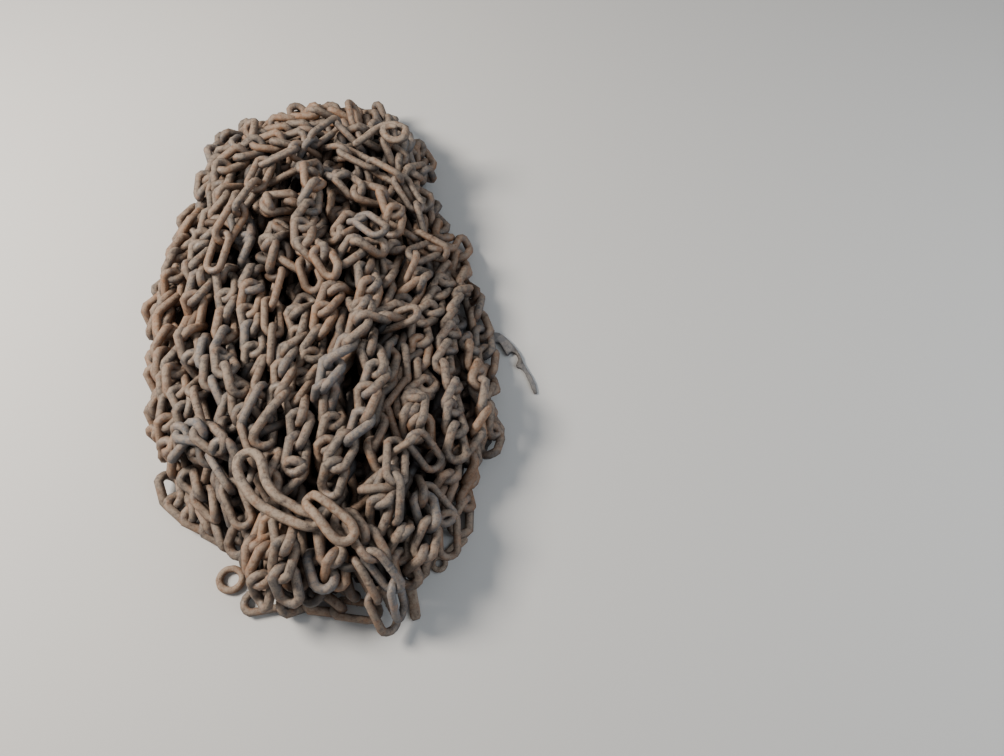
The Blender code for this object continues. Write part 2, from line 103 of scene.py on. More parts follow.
@dataclass(frozen=True)
class Mound:
    """The mound that the outer runs lie on, in metres on the heap's own plan."""

    half_length: float = 0.560
    half_width: float = 0.311
    crown: float = 0.128
    foot: float = 0.021
    fullness: float = 4.0
    least_half: float = 0.03
    mean_width: float = 0.9
    slope_step: float = 0.006
    outline: tuple[tuple[float, float, float], ...] = (
        (-1.00, 0.03, 0.34),
        (-0.90, -0.42, 0.48),
        (-0.79, -0.69, 0.63),
        (-0.64, -0.69, 0.74),
        (-0.50, -0.80, 0.93),
        (-0.32, -0.96, 0.97),
        (-0.09, -1.00, 0.98),
        (0.14, -0.97, 0.93),
        (0.36, -0.84, 0.90),
        (0.57, -0.71, 0.89),
        (0.75, -0.60, 0.88),
        (0.89, -0.45, 0.77),
        (0.99, -0.23, 0.53),
    )

    def middle_and_half(self, y: np.ndarray) -> tuple[np.ndarray, np.ndarray]:
        """The middle of the foot and half its width.

        Args:
            y: Places along the heap.

        Returns:
            The middle and the half width at each place.
        """
        stations = np.array(self.outline)
        along = np.asarray(y, float) / self.half_length
        left, right = (curve_through(stations[:, 0], stations[:, k], along) for k in (1, 2))
        return (left + right) / 2 * self.half_width, (right - left) / 2 * self.half_width

    def place(self, across: float, along: float) -> np.ndarray:
        """The plan place of two shares of the mound, across from -1 to 1 and along from -1 to 1."""
        middle, half = self.middle_and_half(along * self.half_length)
        return np.array([float(middle + across * (half - self.foot)), along * self.half_length])

    def height(self, x: np.ndarray, y: np.ndarray, shell: float = 0.0) -> np.ndarray:
        """The height of a run's middle line over the floor.

        Args:
            x: Places across the heap.
            y: Places along the heap.
            shell: How far under the outer runs the run lies.

        Returns:
            The height at each place, never under the foot.
        """
        middle, half = self.middle_and_half(y)
        across = (x - middle) / np.maximum(half - self.foot - shell, self.least_half)
        rise = np.sqrt(np.clip(1 - np.abs(y / (self.half_length - shell)) ** self.fullness, 0, 1))
        dome = np.sqrt(np.clip(1 - across**2, 0, 1)) * rise
        return self.foot + max(self.crown - self.foot - shell, 0.0) * dome

    def normal(self, x: np.ndarray, y: np.ndarray) -> np.ndarray:
        """The direction out of the mound.

        Args:
            x: Places across the heap.
            y: Places along the heap.

        Returns:
            One unit direction for each place.
        """
        step = self.slope_step
        slope_x = (self.height(x + step, y) - self.height(x - step, y)) / (2 * step)
        slope_y = (self.height(x, y + step) - self.height(x, y - step)) / (2 * step)
        out = np.stack([-slope_x, -slope_y, np.ones_like(slope_x)], axis=-1)
        return out / np.linalg.norm(out, axis=-1, keepdims=True)

    def places_across(self, shell: float, spacing: float, count: int = 721) -> np.ndarray:
        """Shares across the mound that stand one spacing apart along its skin.

        Args:
            shell: How far under the outer runs the skin lies.
            spacing: How far apart they stand.
            count: How many points the skin is measured with.

        Returns:
            The shares, from -1 to 1.
        """
        turn = np.linspace(-math.pi / 2, math.pi / 2, count)
        half = self.half_width * self.mean_width - self.foot - shell
        skin = np.stack([half * np.sin(turn), (self.crown - self.foot - shell) * np.cos(turn)], 1)
        length = np.concatenate([[0], np.cumsum(np.linalg.norm(np.diff(skin, axis=0), axis=1))])
        places = max(2, int(round(length[-1] / spacing)) + 1)
        return np.sin(np.interp(np.linspace(0, length[-1], places), length, turn))


@dataclass(frozen=True)
class ViewPoint:
    """Where the heap is seen from, on the heap's own plan, and how the lens draws it."""

    place: tuple[float, float, float] = (0.1827, -0.7407, 1.2)
    heading: Spot = (0.23107, 0.97294)
    dip: float = math.radians(64.1)
    focal: float = 725.0
    picture: tuple[int, int] = (1004, 756)
    sensor: float = 36.0
    clip: Spot = (0.05, 50.0)

    def axes(self) -> tuple[np.ndarray, np.ndarray, np.ndarray]:
        """The lens's directions.

        Returns:
            Its right, up and forward directions.
        """
        ahead = np.array([*self.heading, 0.0]) * math.cos(self.dip)
        ahead[2] = -math.sin(self.dip)
        right = np.array([self.heading[1], -self.heading[0], 0.0])
        return right, np.cross(right, ahead), ahead

    def ray(self, spot: Spot) -> np.ndarray:
        """The line of sight through a picture spot.

        Args:
            spot: The spot in the picture, in its pixels from the top left.

        Returns:
            The line's direction.
        """
        right, up, ahead = self.axes()
        across = (spot[0] - self.picture[0] / 2) / self.focal
        down = (spot[1] - self.picture[1] / 2) / self.focal
        return ahead + right * across - up * down

    def landing(self, mound: Mound, spot: Spot, lift: float) -> np.ndarray:
        """The plan place where the line of sight through a picture spot meets the mound.

        Args:
            mound: The mound.
            spot: The spot in the picture.
            lift: How far over the mound's runs the thing seen lies.

        Returns:
            The place's x and y.
        """
        ray = self.ray(spot)
        height, ease, rounds = 0.08, 0.5, 24
        for _ in range(rounds):
            place = np.array(self.place) + ray * (self.place[2] - height) / -ray[2]
            wanted = float(mound.height(place[0], place[1])) + lift
            height += ease * (wanted - height)
        return place[:2]

    def level_place(self, spot: Spot, height: float) -> np.ndarray:
        """The plan place seen at a picture spot, on a level height."""
        ray = self.ray(spot)
        return (np.array(self.place) + ray * (self.place[2] - height) / -ray[2])[:2]

    def camera(self, shift: Vector) -> bpy.types.Object:
        """Makes the camera.

        Args:
            shift: The heap's own shift, by which it is moved.

        Returns:
            The camera.
        """
        data = bpy.data.cameras.new("view")
        data.sensor_width = self.sensor
        data.lens = self.sensor * self.focal / self.picture[0]
        data.clip_start, data.clip_end = self.clip
        camera = bpy.data.objects.new("view", data)
        right, up, ahead = (Vector(a) for a in self.axes())
        turn = Matrix((right, up, -ahead)).transposed().to_4x4()
        camera.matrix_world = Matrix.Translation(Vector(self.place) + shift) @ turn
        bpy.context.scene.collection.objects.link(camera)
        return camera


# links, and the runs that they are laid in


@dataclass(frozen=True)
class LinkSize:
    """One pattern of chain link, in metres: a bent bar with round ends."""

    wire: float
    pitch: float
    width: float
    twist: float = 0.0
    weld: float = 0.0

    @property
    def round(self) -> float:
        """The radius of the middle line at the round ends."""
        return (self.width - self.wire) / 2

    @property
    def straight(self) -> float:
        """Half the length of the straight sides."""
        return max((self.pitch + self.wire) / 2 - self.round, 0.0)

    def middle_line(self, count: int) -> np.ndarray:
        """Points one even step apart on the link's middle line, twist included.

        Args:
            count: How many points.

        Returns:
            The points, about the link's own middle and with its length along x.
        """
        side, bend = 2 * self.straight, math.pi * self.round
        at = (np.arange(count) + 0.5) / count * 2 * (side + bend)
        points = np.zeros((count, 3))
        for k, s in enumerate(at):
            flip = 1.0
            if s > side + bend:
                s, flip = s - side - bend, -1.0
            if s < side:
                x, y = self.straight - s, self.round
            else:
                turn = (s - side) / self.round
                x, y = -self.straight - self.round * math.sin(turn), self.round * math.cos(turn)
            x, y = flip * x, flip * y
            lean = self.twist * x / (self.straight + self.round)
            points[k] = (x, y * math.cos(lean), y * math.sin(lean))
        return points


class Chain(Enum):
    """The kinds of chain in the heap."""

    TWISTED = LinkSize(wire=0.0154, pitch=0.0420, width=0.0474, twist=math.radians(43))
    LONG = LinkSize(wire=0.0130, pitch=0.0600, width=0.0430, weld=0.0080)


# How far a run's first and last ends dip, in metres, and the height of a run on the floor
DIPPING = (0.03, 0.03)
NEAR_DIP = (0.02, 0.0)
SHALLOW = (0.005, 0.005)
FLAT = (0.0, 0.0)
FLOOR_LIFT = 0.02


@dataclass(frozen=True)
class Run:
    """A length of chain and the way that it lies.

    Attributes:
        node: The part's solid that the run belongs to.
        chain: Its kind of chain.
        spots: Picture spots that it passes, or shares across and along the mound if it isn't seen.
        lift: How far over the outer runs it lies, in metres, or over the floor for one that lies there.
        ends: How far its first and last ends dip under that.
        on_floor: Whether it lies on the floor at the heap's foot.
        unseen: Whether other runs hide it in the picture.
    """

    node: str
    chain: Chain
    spots: tuple[Spot, ...]
    lift: float = 0.0
    ends: Spot = DIPPING
    on_floor: bool = False
    unseen: bool = False

    def plan(self, view: ViewPoint, mound: Mound) -> np.ndarray:
        """The plan places that the run passes.

        Args:
            view: The place that the picture's spots are read from.
            mound: The mound that it lies on.

        Returns:
            One place for each spot.
        """
        if self.unseen:
            return np.array([mound.place(*share) for share in self.spots])
        if self.on_floor:
            return np.array([view.level_place(spot, self.lift) for spot in self.spots])
        return np.array([view.landing(mound, spot, self.lift) for spot in self.spots])


def seen(node: str, chain: Chain, lift: float, *spots: Spot, ends: Spot = DIPPING) -> Run:
    """A run read off the picture, with its lift in millimetres."""
    return Run(node, chain, spots, lift / 1000, ends)


def on_floor(node: str, chain: Chain, *spots: Spot) -> Run:
    """A run read off the picture that lies on the floor."""
    return Run(node, chain, spots, FLOOR_LIFT, FLAT, on_floor=True)


def unseen(node: str, chain: Chain, *shares: Spot, lift: float = 0.0) -> Run:
    """A run on the mound that others hide in the picture, with its lift in millimetres."""
    return Run(node, chain, shares, lift / 1000, SHALLOW, unseen=True)


T, L = Chain.TWISTED, Chain.LONG

# Runs that can be followed in the picture: first those along the heap, from the left edge to
# the right, then the folded far end, the knot, the crossings on the right and the near end
SEEN_RUNS = (
    seen("left_floor_run", T, 0, (200, 234), (180, 262), (172, 290), (166, 315), (163, 338), (161, 360),
         (163, 385), (162, 410), (165, 435), (168, 460), ends=FLAT),
    on_floor("left_loop_run", T, (168, 478), (180, 500), (198, 515), (214, 522), (230, 538)),
    seen("left_flank_run", T, 0, (208, 212), (192, 245), (183, 275), (179, 300), (175, 325), (174, 350),
         (175, 375), (173, 400), (176, 425), (176, 450), (184, 472)),
    seen("left_flank_run", T, 4, (213, 235), (203, 262), (199, 290), (191, 312), (188, 335), (184, 360),
         (183, 385), (186, 405), (190, 430), (202, 450), (208, 472)),
    seen("left_flank_run", T, 26, (178, 440), (192, 428), (212, 430), (226, 442), (238, 452)),
    seen("left_side_run", T, 3, (208, 250), (206, 280), (201, 310), (197, 340), (196, 362), (194, 385)),
    seen("left_side_run", L, 6, (196, 372), (201, 410), (211, 440), (223, 468), (237, 500), (252, 524)),
    seen("left_shoulder_run", T, 12, (226, 262), (222, 285), (227, 305), (224, 325), (228, 342), (228, 358),
         (236, 376), (241, 395), (248, 415), (256, 440)),
    seen("left_shoulder_run", T, 10, (200, 334), (207, 352), (214, 366), (222, 384), (231, 402), (238, 424),
         (246, 446)),
    seen("left_inner_run", T, 6, (258, 256), (256, 282), (250, 303), (248, 322), (250, 342), (245, 362),
         (247, 385), (252, 408)),
    seen("left_ridge_run", L, 14, (268, 250), (271, 284), (271, 318), (270, 354), (264, 388), (256, 424),
         (264, 458)),
    seen("left_ridge_run", T, 14, (302, 290), (296, 315), (290, 338), (288, 360), (283, 382), (276, 404),
         (266, 428), (258, 452)),
    seen("left_ridge_run", T, 8, (246, 468), (254, 446), (270, 424), (286, 404), (300, 392)),
    seen("middle_run", T, 20, (345, 278), (336, 300), (327, 318), (317, 334), (309, 352), (301, 372),
         (296, 392), (299, 412), (300, 430), (294, 455), (286, 482)),
    seen("middle_run", T, 10, (352, 300), (344, 320), (338, 345), (333, 368), (328, 390), (326, 412),
         (333, 432), (325, 452), (322, 474)),
    seen("right_ridge_run", T, 20, (372, 300), (362, 325), (368, 345), (374, 362), (371, 384), (369, 404),
         (361, 420), (351, 437), (345, 453), (336, 470), (327, 490)),
    seen("right_ridge_run", T, 8, (394, 322), (389, 350), (388, 375), (386, 398), (379, 418), (374, 438),
         (383, 460), (390, 482)),
    seen("right_shoulder_run", L, 4, (400, 326), (398, 360), (396, 390), (395, 415), (399, 445)),
    seen("right_shoulder_run", T, 2, (408, 335), (408, 370), (407, 395), (411, 418), (419, 442)),
    seen("right_side_run", T, 12, (424, 262), (414, 282), (404, 300), (392, 318)),
    seen("right_side_run", T, 5, (441, 270), (437, 295), (428, 308), (421, 328), (418, 350), (418, 375),
         (421, 398), (425, 422), (421, 448)),
    seen("right_flank_run", T, 5, (450, 245), (455, 268), (460, 287), (452, 305), (449, 325), (446, 345),
         (445, 368), (448, 390), (449, 412), (447, 432), (453, 456)),
    seen("right_floor_run", T, 0, (446, 252), (456, 272), (463, 292), (472, 312), (480, 330), (479, 350),
         (484, 370), (485, 392), (487, 412), (489, 430), (484, 450), (476, 468), ends=FLAT),
    seen("right_flank_run", T, 0, (464, 335), (469, 358), (472, 380), (474, 405), (475, 430), (467, 455),
         (465, 480), (459, 505), (457, 530)),
    seen("far_brow_run", T, 0, (228, 187), (241, 165), (260, 148), (283, 141), (302, 135), (322, 133),
         (342, 133), (362, 130), (380, 137), (396, 146), (410, 150), (420, 158), (421, 174), ends=FLAT),
    on_floor("far_end_run", T, (211, 206), (218, 182), (232, 156), (250, 134), (284, 127), (322, 124),
         (356, 125), (388, 135), (410, 148), (424, 166)),
    seen("far_brow_run", T, 16, (219, 209), (229, 185), (244, 165), (256, 151), (276, 147), (294, 142),
         (310, 134)),
    seen("far_brow_run", T, 22, (330, 140), (350, 143), (370, 140), (386, 146), (398, 158), (408, 172),
         (416, 182)),
    seen("far_brow_run", L, 30, (290, 152), (318, 147), (344, 128), (354, 144)),
    seen("far_folded_run", L, 30, (324, 152), (292, 160), (262, 180), (246, 206), (230, 230), (216, 254),
         (208, 276)),
    seen("far_folded_run", L, 22, (330, 166), (290, 174), (266, 192)),
    seen("far_folded_run", L, 14, (207, 222), (240, 240)),
    seen("left_flank_run", T, 8, (251, 175), (235, 187), (229, 202), (219, 217), (208, 240), (198, 262)),
    seen("left_side_run", T, 14, (252, 190), (240, 208), (244, 232), (240, 252), (228, 268)),
    seen("far_saddle_run", L, 27, (318, 150), (350, 158), (378, 176), (402, 190), (420, 216), (432, 242)),
    seen("far_saddle_run", T, 44, (326, 168), (342, 176), (358, 186), (372, 193), (388, 194), (392, 212),
         (386, 232)),
    seen("far_saddle_run", L, 32, (346, 206), (382, 242), (374, 262)),
    seen("far_saddle_run", T, 30, (324, 222), (342, 233), (358, 216)),
    seen("right_floor_run", T, 0, (418, 190), (428, 208), (436, 226), (446, 248)),
    seen("right_shoulder_run", T, 20, (424, 160), (418, 174), (404, 184), (410, 200), (422, 214)),
    seen("upper_left_run", T, 52, (316, 158), (311, 180), (314, 198), (303, 210), (307, 227), (303, 244),
         (318, 248), (327, 264), (332, 284)),
    seen("upper_left_run", T, 42, (262, 196), (270, 212), (284, 206), (302, 203), (324, 200)),
    seen("upper_left_run", T, 32, (288, 212), (276, 230), (263, 248), (264, 264)),
    seen("upper_left_run", T, 30, (268, 252), (290, 258), (310, 268), (316, 288)),
    seen("upper_right_run", T, 32, (346, 244), (360, 254), (368, 274), (366, 294), (372, 312)),
    seen("upper_right_run", T, 48, (376, 246), (354, 248), (344, 266)),
    seen("right_side_run", T, 12, (394, 240), (388, 262), (386, 282), (384, 302), (390, 320)),
    seen("right_side_run", L, 22, (392, 216), (422, 240), (448, 266)),
    seen("right_side_run", L, 34, (398, 272), (448, 250)),
    seen("upper_right_run", L, 34, (376, 322), (424, 312)),
    seen("upper_right_run", T, 38, (394, 304), (383, 311), (372, 322), (362, 333), (352, 345), (341, 354),
         (334, 368), (324, 386), (315, 402)),
    seen("upper_right_run", T, 30, (372, 308), (384, 322), (380, 338), (366, 340)),
    seen("near_folded_run", L, 18, (352, 520), (368, 542), (382, 566), (392, 590), (402, 622)),
    seen("near_folded_run", L, 10, (330, 534), (350, 565), (372, 592), (394, 624)),
    seen("near_folded_run", T, 28, (342, 526), (360, 534), (376, 552), (386, 572)),
    seen("right_shoulder_run", L, 30, (392, 450), (396, 480), (388, 514)),
    seen("right_shoulder_run", T, 22, (364, 474), (384, 474), (392, 494), (376, 506), (378, 526)),
    seen("right_side_run", L, 24, (384, 460), (418, 449), (446, 462)),
    seen("right_side_run", T, 12, (398, 478), (412, 492), (420, 510), (416, 530), (410, 548), (414, 564),
         (410, 580)),
    seen("right_side_run", T, 8, (394, 506), (399, 526), (394, 546), (397, 566), (404, 586)),
    seen("right_flank_run", L, 10, (418, 482), (444, 506), (452, 528), (444, 548), (436, 560)),
    on_floor("near_end_run", L, (250, 604), (268, 590), (290, 592)),
    on_floor("near_end_run", T, (284, 604), (300, 602), (316, 606), (330, 610), (350, 604)),
    on_floor("near_end_run", L, (344, 606), (372, 614), (404, 617), (412, 618)),
    seen("near_brow_run", T, 12, (268, 520), (262, 534), (256, 546), (252, 558), (256, 572), (264, 582),
         ends=NEAR_DIP),
    seen("near_brow_run", T, 14, (274, 524), (270, 544), (266, 566), (270, 588), (268, 602), ends=NEAR_DIP),
    seen("near_brow_run", T, 14, (289, 526), (284, 546), (286, 562), (290, 582), (296, 604), ends=NEAR_DIP),
    seen("near_brow_run", T, 14, (300, 530), (305, 548), (311, 566), (322, 584), (318, 602), ends=NEAR_DIP),
    seen("near_brow_run", T, 12, (322, 536), (331, 552), (342, 564), (336, 584), (328, 604), ends=NEAR_DIP),
)

# The same runs where the knot and the near links lie over them
UNSEEN_RUNS = (
    unseen("left_floor_run", T, (-1.00, 0.57), (-1.00, 0.30), (-1.02, 0.06)),
    unseen("left_flank_run", T, (-0.75, 0.73), (-0.76, 0.58), (-0.78, 0.48)),
    unseen("left_flank_run", T, (-0.90, -0.44), (-0.92, -0.64)),
    unseen("left_side_run", L, (-0.64, 0.77), (-0.62, 0.50), (-0.61, 0.30)),
    unseen("left_shoulder_run", T, (-0.44, 0.74), (-0.44, 0.45), (-0.44, 0.20)),
    unseen("left_shoulder_run", T, (-0.46, -0.50), (-0.45, -0.70), (-0.44, -0.88)),
    unseen("left_inner_run", T, (-0.32, 0.60), (-0.30, 0.40), (-0.24, 0.20)),
    unseen("left_ridge_run", L, (-0.12, 0.62), (-0.10, 0.40), (-0.14, 0.19)),
    unseen("middle_run", T, (0.09, 0.64), (0.13, 0.35), (0.24, 0.04)),
    unseen("right_ridge_run", T, (0.31, 0.58), (0.34, 0.25), (0.40, -0.04)),
    unseen("right_shoulder_run", L, (0.47, 0.75), (0.53, 0.30), (0.54, -0.10)),
    unseen("right_side_run", T, (0.66, 0.73), (0.72, 0.45), (0.76, 0.22)),
    unseen("right_flank_run", T, (0.80, 0.74), (0.84, 0.50), (0.88, 0.26)),
    unseen("far_end_run", T, (-0.70, 0.68), (-0.43, 0.75), (0.00, 0.77), (0.48, 0.76), (0.76, 0.68),
         lift=-14),
    unseen("far_end_run", T, (-0.76, 0.76), (-0.43, 0.845), (0.00, 0.865), (0.45, 0.855), (0.80, 0.76),
         lift=-38),
)

INNER_SHELLS = (0.030, 0.060, 0.088)


# the links as solid bodies while they settle


Push = tuple[np.ndarray, np.ndarray, np.ndarray]


def sums_by(index: np.ndarray, values: np.ndarray, count: int) -> np.ndarray:
    """Sums of three-part values that share an index."""
    return np.stack([np.bincount(index, values[:, k], count) for k in range(3)], axis=1)


def upright_again(turns: np.ndarray) -> np.ndarray:
    """Makes the axes of turns square and of unit length again.

    Args:
        turns: The turns, as three columns each.

    Returns:
        The mended turns.
    """
    x = turns[:, :, 0] / np.linalg.norm(turns[:, :, 0], axis=1, keepdims=True)
    y = turns[:, :, 1] - x * (x * turns[:, :, 1]).sum(1, keepdims=True)
    y /= np.linalg.norm(y, axis=1, keepdims=True)
    return np.stack([x, y, np.cross(x, y)], axis=2)


@dataclass
class LinkStack:
    """All links of the heap, laid run by run and then settled against each other.

    Attributes:
        mound: The mound that they lie on.
        view: The place that the picture's runs are read from.
        beads: How many balls stand for one link's bar where links press on each other.
        slack: How far apart neighbours' bearings lie at first, as a share of the pitch.
        zigzag: How far a bearing strays from its run.
        zigzag_up: The share of that which goes up and down.
        roll_drift: How far the chain turns about its length from link to link.
        roll_jitter: How far each link turns by itself.
        path_step: How dense the points of a run's path are.
        dip_length: The length over which a run's end dips.
        shell_reach: How far along the mound an inner run goes, as a share of its shell.
        shell_ends: The least and the greatest share of that which one end of it reaches.
        shell_roll: The greatest turn of its first link.
        wander: How far it winds to either side.
        wander_length: The length that it winds over, in metres to a radian.
        bar_step: How far apart the balls of a held bar stand.
        batch: How many pairs of links are measured at once.
        floor_gap: How far over the floor the lowest links stay.
        seed: Starts the chance that makes no two links lie alike.
        places: The links' middles.
        turns: Their turns, with the length as the first axis.
        sizes: Their patterns.
        runs: The number of the run that each belongs to.
        nodes: The part's solid that each belongs to.
        bars: The balls and the radius of each bar that is held.
    """

    mound: Mound
    view: ViewPoint
    beads: int = 14
    slack: float = 0.93
    zigzag: float = 0.0055
    zigzag_up: float = 0.6
    roll_drift: float = 0.34
    roll_jitter: float = 0.30
    path_step: float = 0.002
    dip_length: float = 0.05
    shell_reach: float = 0.955
    shell_ends: Spot = (0.93, 1.0)
    shell_roll: float = 0.6
    wander: float = 0.008
    wander_length: float = 0.05
    bar_step: float = 0.008
    batch: int = 2000
    floor_gap: float = 0.0018
    seed: int = 7
    places: list[np.ndarray] = field(default_factory=list)
    turns: list[np.ndarray] = field(default_factory=list)
    sizes: list[LinkSize] = field(default_factory=list)
    runs: list[int] = field(default_factory=list)
    nodes: list[str] = field(default_factory=list)
    bars: list[tuple[np.ndarray, float]] = field(default_factory=list)

    def __post_init__(self) -> None:
        """Starts the chance that makes no two links lie alike."""
        self.chance = np.random.default_rng(self.seed)

    def lay_run(self, run: Run) -> None:
        """Lays one run of the tables.

        Args:
            run: The run.
        """
        plan = run.plan(self.view, self.mound)
        at = np.concatenate([[0], np.cumsum(np.linalg.norm(np.diff(plan, axis=0), axis=1))])
        steps = np.arange(0, at[-1], self.path_step)
        x, y = (curve_through(at, plan[:, k], steps) for k in (0, 1))
        lift = np.full(len(steps), run.lift)
        for distance, dip in ((steps, run.ends[0]), (at[-1] - steps, run.ends[1])):
            lift -= dip * np.clip(1 - distance / self.dip_length, 0, 1) ** 2
        z = lift if run.on_floor else np.maximum(self.mound.height(x, y) + lift, self.mound.foot)
        self.lay_path(np.stack([x, y, z], 1), run.chain.value, run.node)

    def lay_shell(self, shell: float, spacing: float, node: str, chain: Chain) -> None:
        """Lays runs side by side along the mound, one shell under the outer ones.

        Args:
            shell: How far under the outer runs they lie.
            spacing: How far apart they lie.
            node: The part's solid that they belong to.
            chain: Their kind of chain.
        """
        reach = (self.mound.half_length - shell) * self.shell_reach
        for across in self.mound.places_across(shell, spacing):
            start, end = (reach * self.chance.uniform(*self.shell_ends) for _ in range(2))
            y = np.arange(-start, end, self.path_step)
            middle, half = self.mound.middle_and_half(y)
            phase = self.chance.uniform(0, ABOUT_A_TURN)
            x = middle + across * (half - self.mound.foot - shell)
            x = x + self.wander * np.sin(y / self.wander_length + phase)
            path = np.stack([x, y, self.mound.height(x, y, shell)], 1)
            roll = self.chance.uniform(-self.shell_roll, self.shell_roll)
            self.lay_path(path, chain.value, node, roll)

    def lay_path(self, path: np.ndarray, size: LinkSize, node: str, roll: float = 0.0) -> None:
        """Lays links one after the other along a dense path.

        Args:
            path: The path's points.
            size: The pattern of link.
            node: The part's solid that they belong to.
            roll: The turn of the first link about its own length.
        """
        joints = [path[0]]
        for point in path[1:]:
            if np.linalg.norm(point - joints[-1]) >= size.pitch * self.slack:
                joints.append(point)
        if len(joints) < 2:
            return
        ends = np.array(joints)
        zigzag = self.chance.normal(0, self.zigzag, ends.shape)
        zigzag[:, 2] *= self.zigzag_up
        ends = ends + zigzag
        centres, lengths = (ends[1:] + ends[:-1]) / 2, np.diff(ends, axis=0)
        out = self.mound.normal(centres[:, 0], centres[:, 1])
        drift = np.cumsum(self.chance.normal(0, self.roll_drift, len(centres)))
        drift -= np.linspace(0, drift[-1], len(drift))
        rolls = roll + drift + self.chance.normal(0, self.roll_jitter, len(centres))
        if size.twist == 0:
            rolls = rolls + np.where(np.arange(len(centres)) % 2, math.pi / 4, -math.pi / 4)
        along = lengths / np.linalg.norm(lengths, axis=1, keepdims=True)
        side = np.cross(out, along)
        side /= np.linalg.norm(side, axis=1, keepdims=True)
        up = np.cross(along, side)
        c, s = np.cos(rolls)[:, None], np.sin(rolls)[:, None]
        run = len(set(self.runs))
        for centre, turn in zip(centres, np.stack([along, c * side + s * up, c * up - s * side], axis=2)):
            self.add(centre, turn, size, run, node)

    def add(self, centre: np.ndarray, turn: np.ndarray, size: LinkSize, run: int, node: str) -> None:
        """Adds one link.

        Args:
            centre: Its middle.
            turn: Its turn.
            size: Its pattern.
            run: The number of its run.
            node: The part's solid that it belongs to.
        """
        self.places.append(centre)
        self.turns.append(turn)
        self.sizes.append(size)
        self.runs.append(run)
        self.nodes.append(node)

    def keep_clear(self, node: str, x: float, y: float, reach: float) -> None:
        """Takes a node's links off a place, and parts the runs there.

        Args:
            node: The solid whose links make room.
            x: The place across the heap.
            y: The place along the heap.
            reach: How far from the place no link's middle stays.
        """
        self.keep_only([
            k for k, place in enumerate(self.places)
            if self.nodes[k] != node or math.hypot(place[0] - x, place[1] - y) > reach
        ])

    def lines(self, beads: int) -> np.ndarray:
        """Points of each link's middle line, about its own middle."""
        shapes = {size: size.middle_line(beads) for size in set(self.sizes)}
        return np.array([shapes[size] for size in self.sizes])

    def drop_crossed(self, node: str, depth: float) -> None:
        """Takes out a node's links that pass through others.

        Args:
            node: The solid whose links give way.
            depth: How far two bars may press into each other.
        """
        place, turn = np.array(self.places), np.array(self.turns)
        bars = place[:, None] + np.einsum("nab,nkb->nka", turn, self.lines(2 * self.beads))
        wire = np.array([size.wire / 2 for size in self.sizes])
        reach = np.array([size.pitch / 2 + size.wire for size in self.sizes])
        runs, mine = np.array(self.runs), np.array(self.nodes) == node
        gap = np.linalg.norm(place[:, None] - place[None], axis=2)
        i, j = np.nonzero(np.triu(gap < reach[:, None] + reach[None], 1))
        keep = ((j != i + 1) | (runs[i] != runs[j])) & (mine[i] | mine[j])
        i, j = i[keep], j[keep]
        deep = np.zeros(len(i), bool)
        for part in np.array_split(np.arange(len(i)), max(1, len(i) // self.batch)):
            span = np.linalg.norm(bars[i[part]][:, :, None] - bars[j[part]][:, None], axis=3)
            deep[part] = span.min(axis=(1, 2)) < wire[i[part]] + wire[j[part]] - depth
        crossed = list(zip(i[deep].tolist(), j[deep].tolist()))
        gone: set[int] = set()
        while crossed:
            worst = Counter(k for pair in crossed for k in pair if mine[k]).most_common(1)[0][0]
            gone.add(worst)
            crossed = [pair for pair in crossed if worst not in pair]
        self.keep_only([k for k in range(len(self.places)) if k not in gone])
        log.info("%d links that crossed others were taken out of %s", len(gone), node)

    def keep_only(self, kept: list[int]) -> None:
        """Keeps some links, and parts the runs where others are gone.

        Args:
            kept: The numbers of the links that stay, rising.
        """
        parted = np.cumsum([
            k > 0 and (kept[k] != kept[k - 1] + 1 or self.runs[kept[k]] != self.runs[kept[k - 1]])
            for k in range(len(kept))
        ])
        self.places, self.turns = [self.places[k] for k in kept], [self.turns[k] for k in kept]
        self.sizes, self.nodes = [self.sizes[k] for k in kept], [self.nodes[k] for k in kept]
        self.runs = [int(k) for k in parted]

    def top_near(self, x: float, y: float, reach: float, margin: float = 0.02) -> float:
        """The height of the highest link near a plan place.

        Args:
            x: The place across the heap.
            y: The place along the heap.
            reach: How near a link's bar passes.
            margin: How much further off its middle may be.

        Returns:
            The height over the floor, 0 where no link is near.
        """
        places = np.array(self.places)
        near = np.hypot(places[:, 0] - x, places[:, 1] - y) < reach + margin
        top = 0.0
        for k in np.nonzero(near)[0]:
            bar = places[k] + self.sizes[k].middle_line(self.beads) @ self.turns[k].T
            close = np.hypot(bar[:, 0] - x, bar[:, 1] - y) < reach
            top = max(top, float(bar[close, 2].max(initial=0.0)) + self.sizes[k].wire / 2)
        return top

    def fall_under(self, line: np.ndarray, wire: float) -> np.ndarray:
        """How far each point of a bar can fall until the bar bears on a link.

        Args:
            line: Points of its middle line.
            wire: Its thickness.

        Returns:
            One distance for each point, under 0 where the bar presses into a link.
        """
        bars = np.concatenate([
            place + size.middle_line(2 * self.beads) @ turn.T
            for place, turn, size in zip(self.places, self.turns, self.sizes)
        ])
        touch = np.repeat([size.wire / 2 for size in self.sizes], 2 * self.beads) + wire / 2
        fall = line[:, 2] - wire / 2
        for k, point in enumerate(line):
            beside = np.hypot(bars[:, 0] - point[0], bars[:, 1] - point[1])
            under = (beside < touch) & (bars[:, 2] < point[2])
            reach = np.sqrt(touch[under] ** 2 - beside[under] ** 2)
            fall[k] = min(fall[k], (point[2] - bars[under, 2] - reach).min(initial=fall[k]))
        return fall

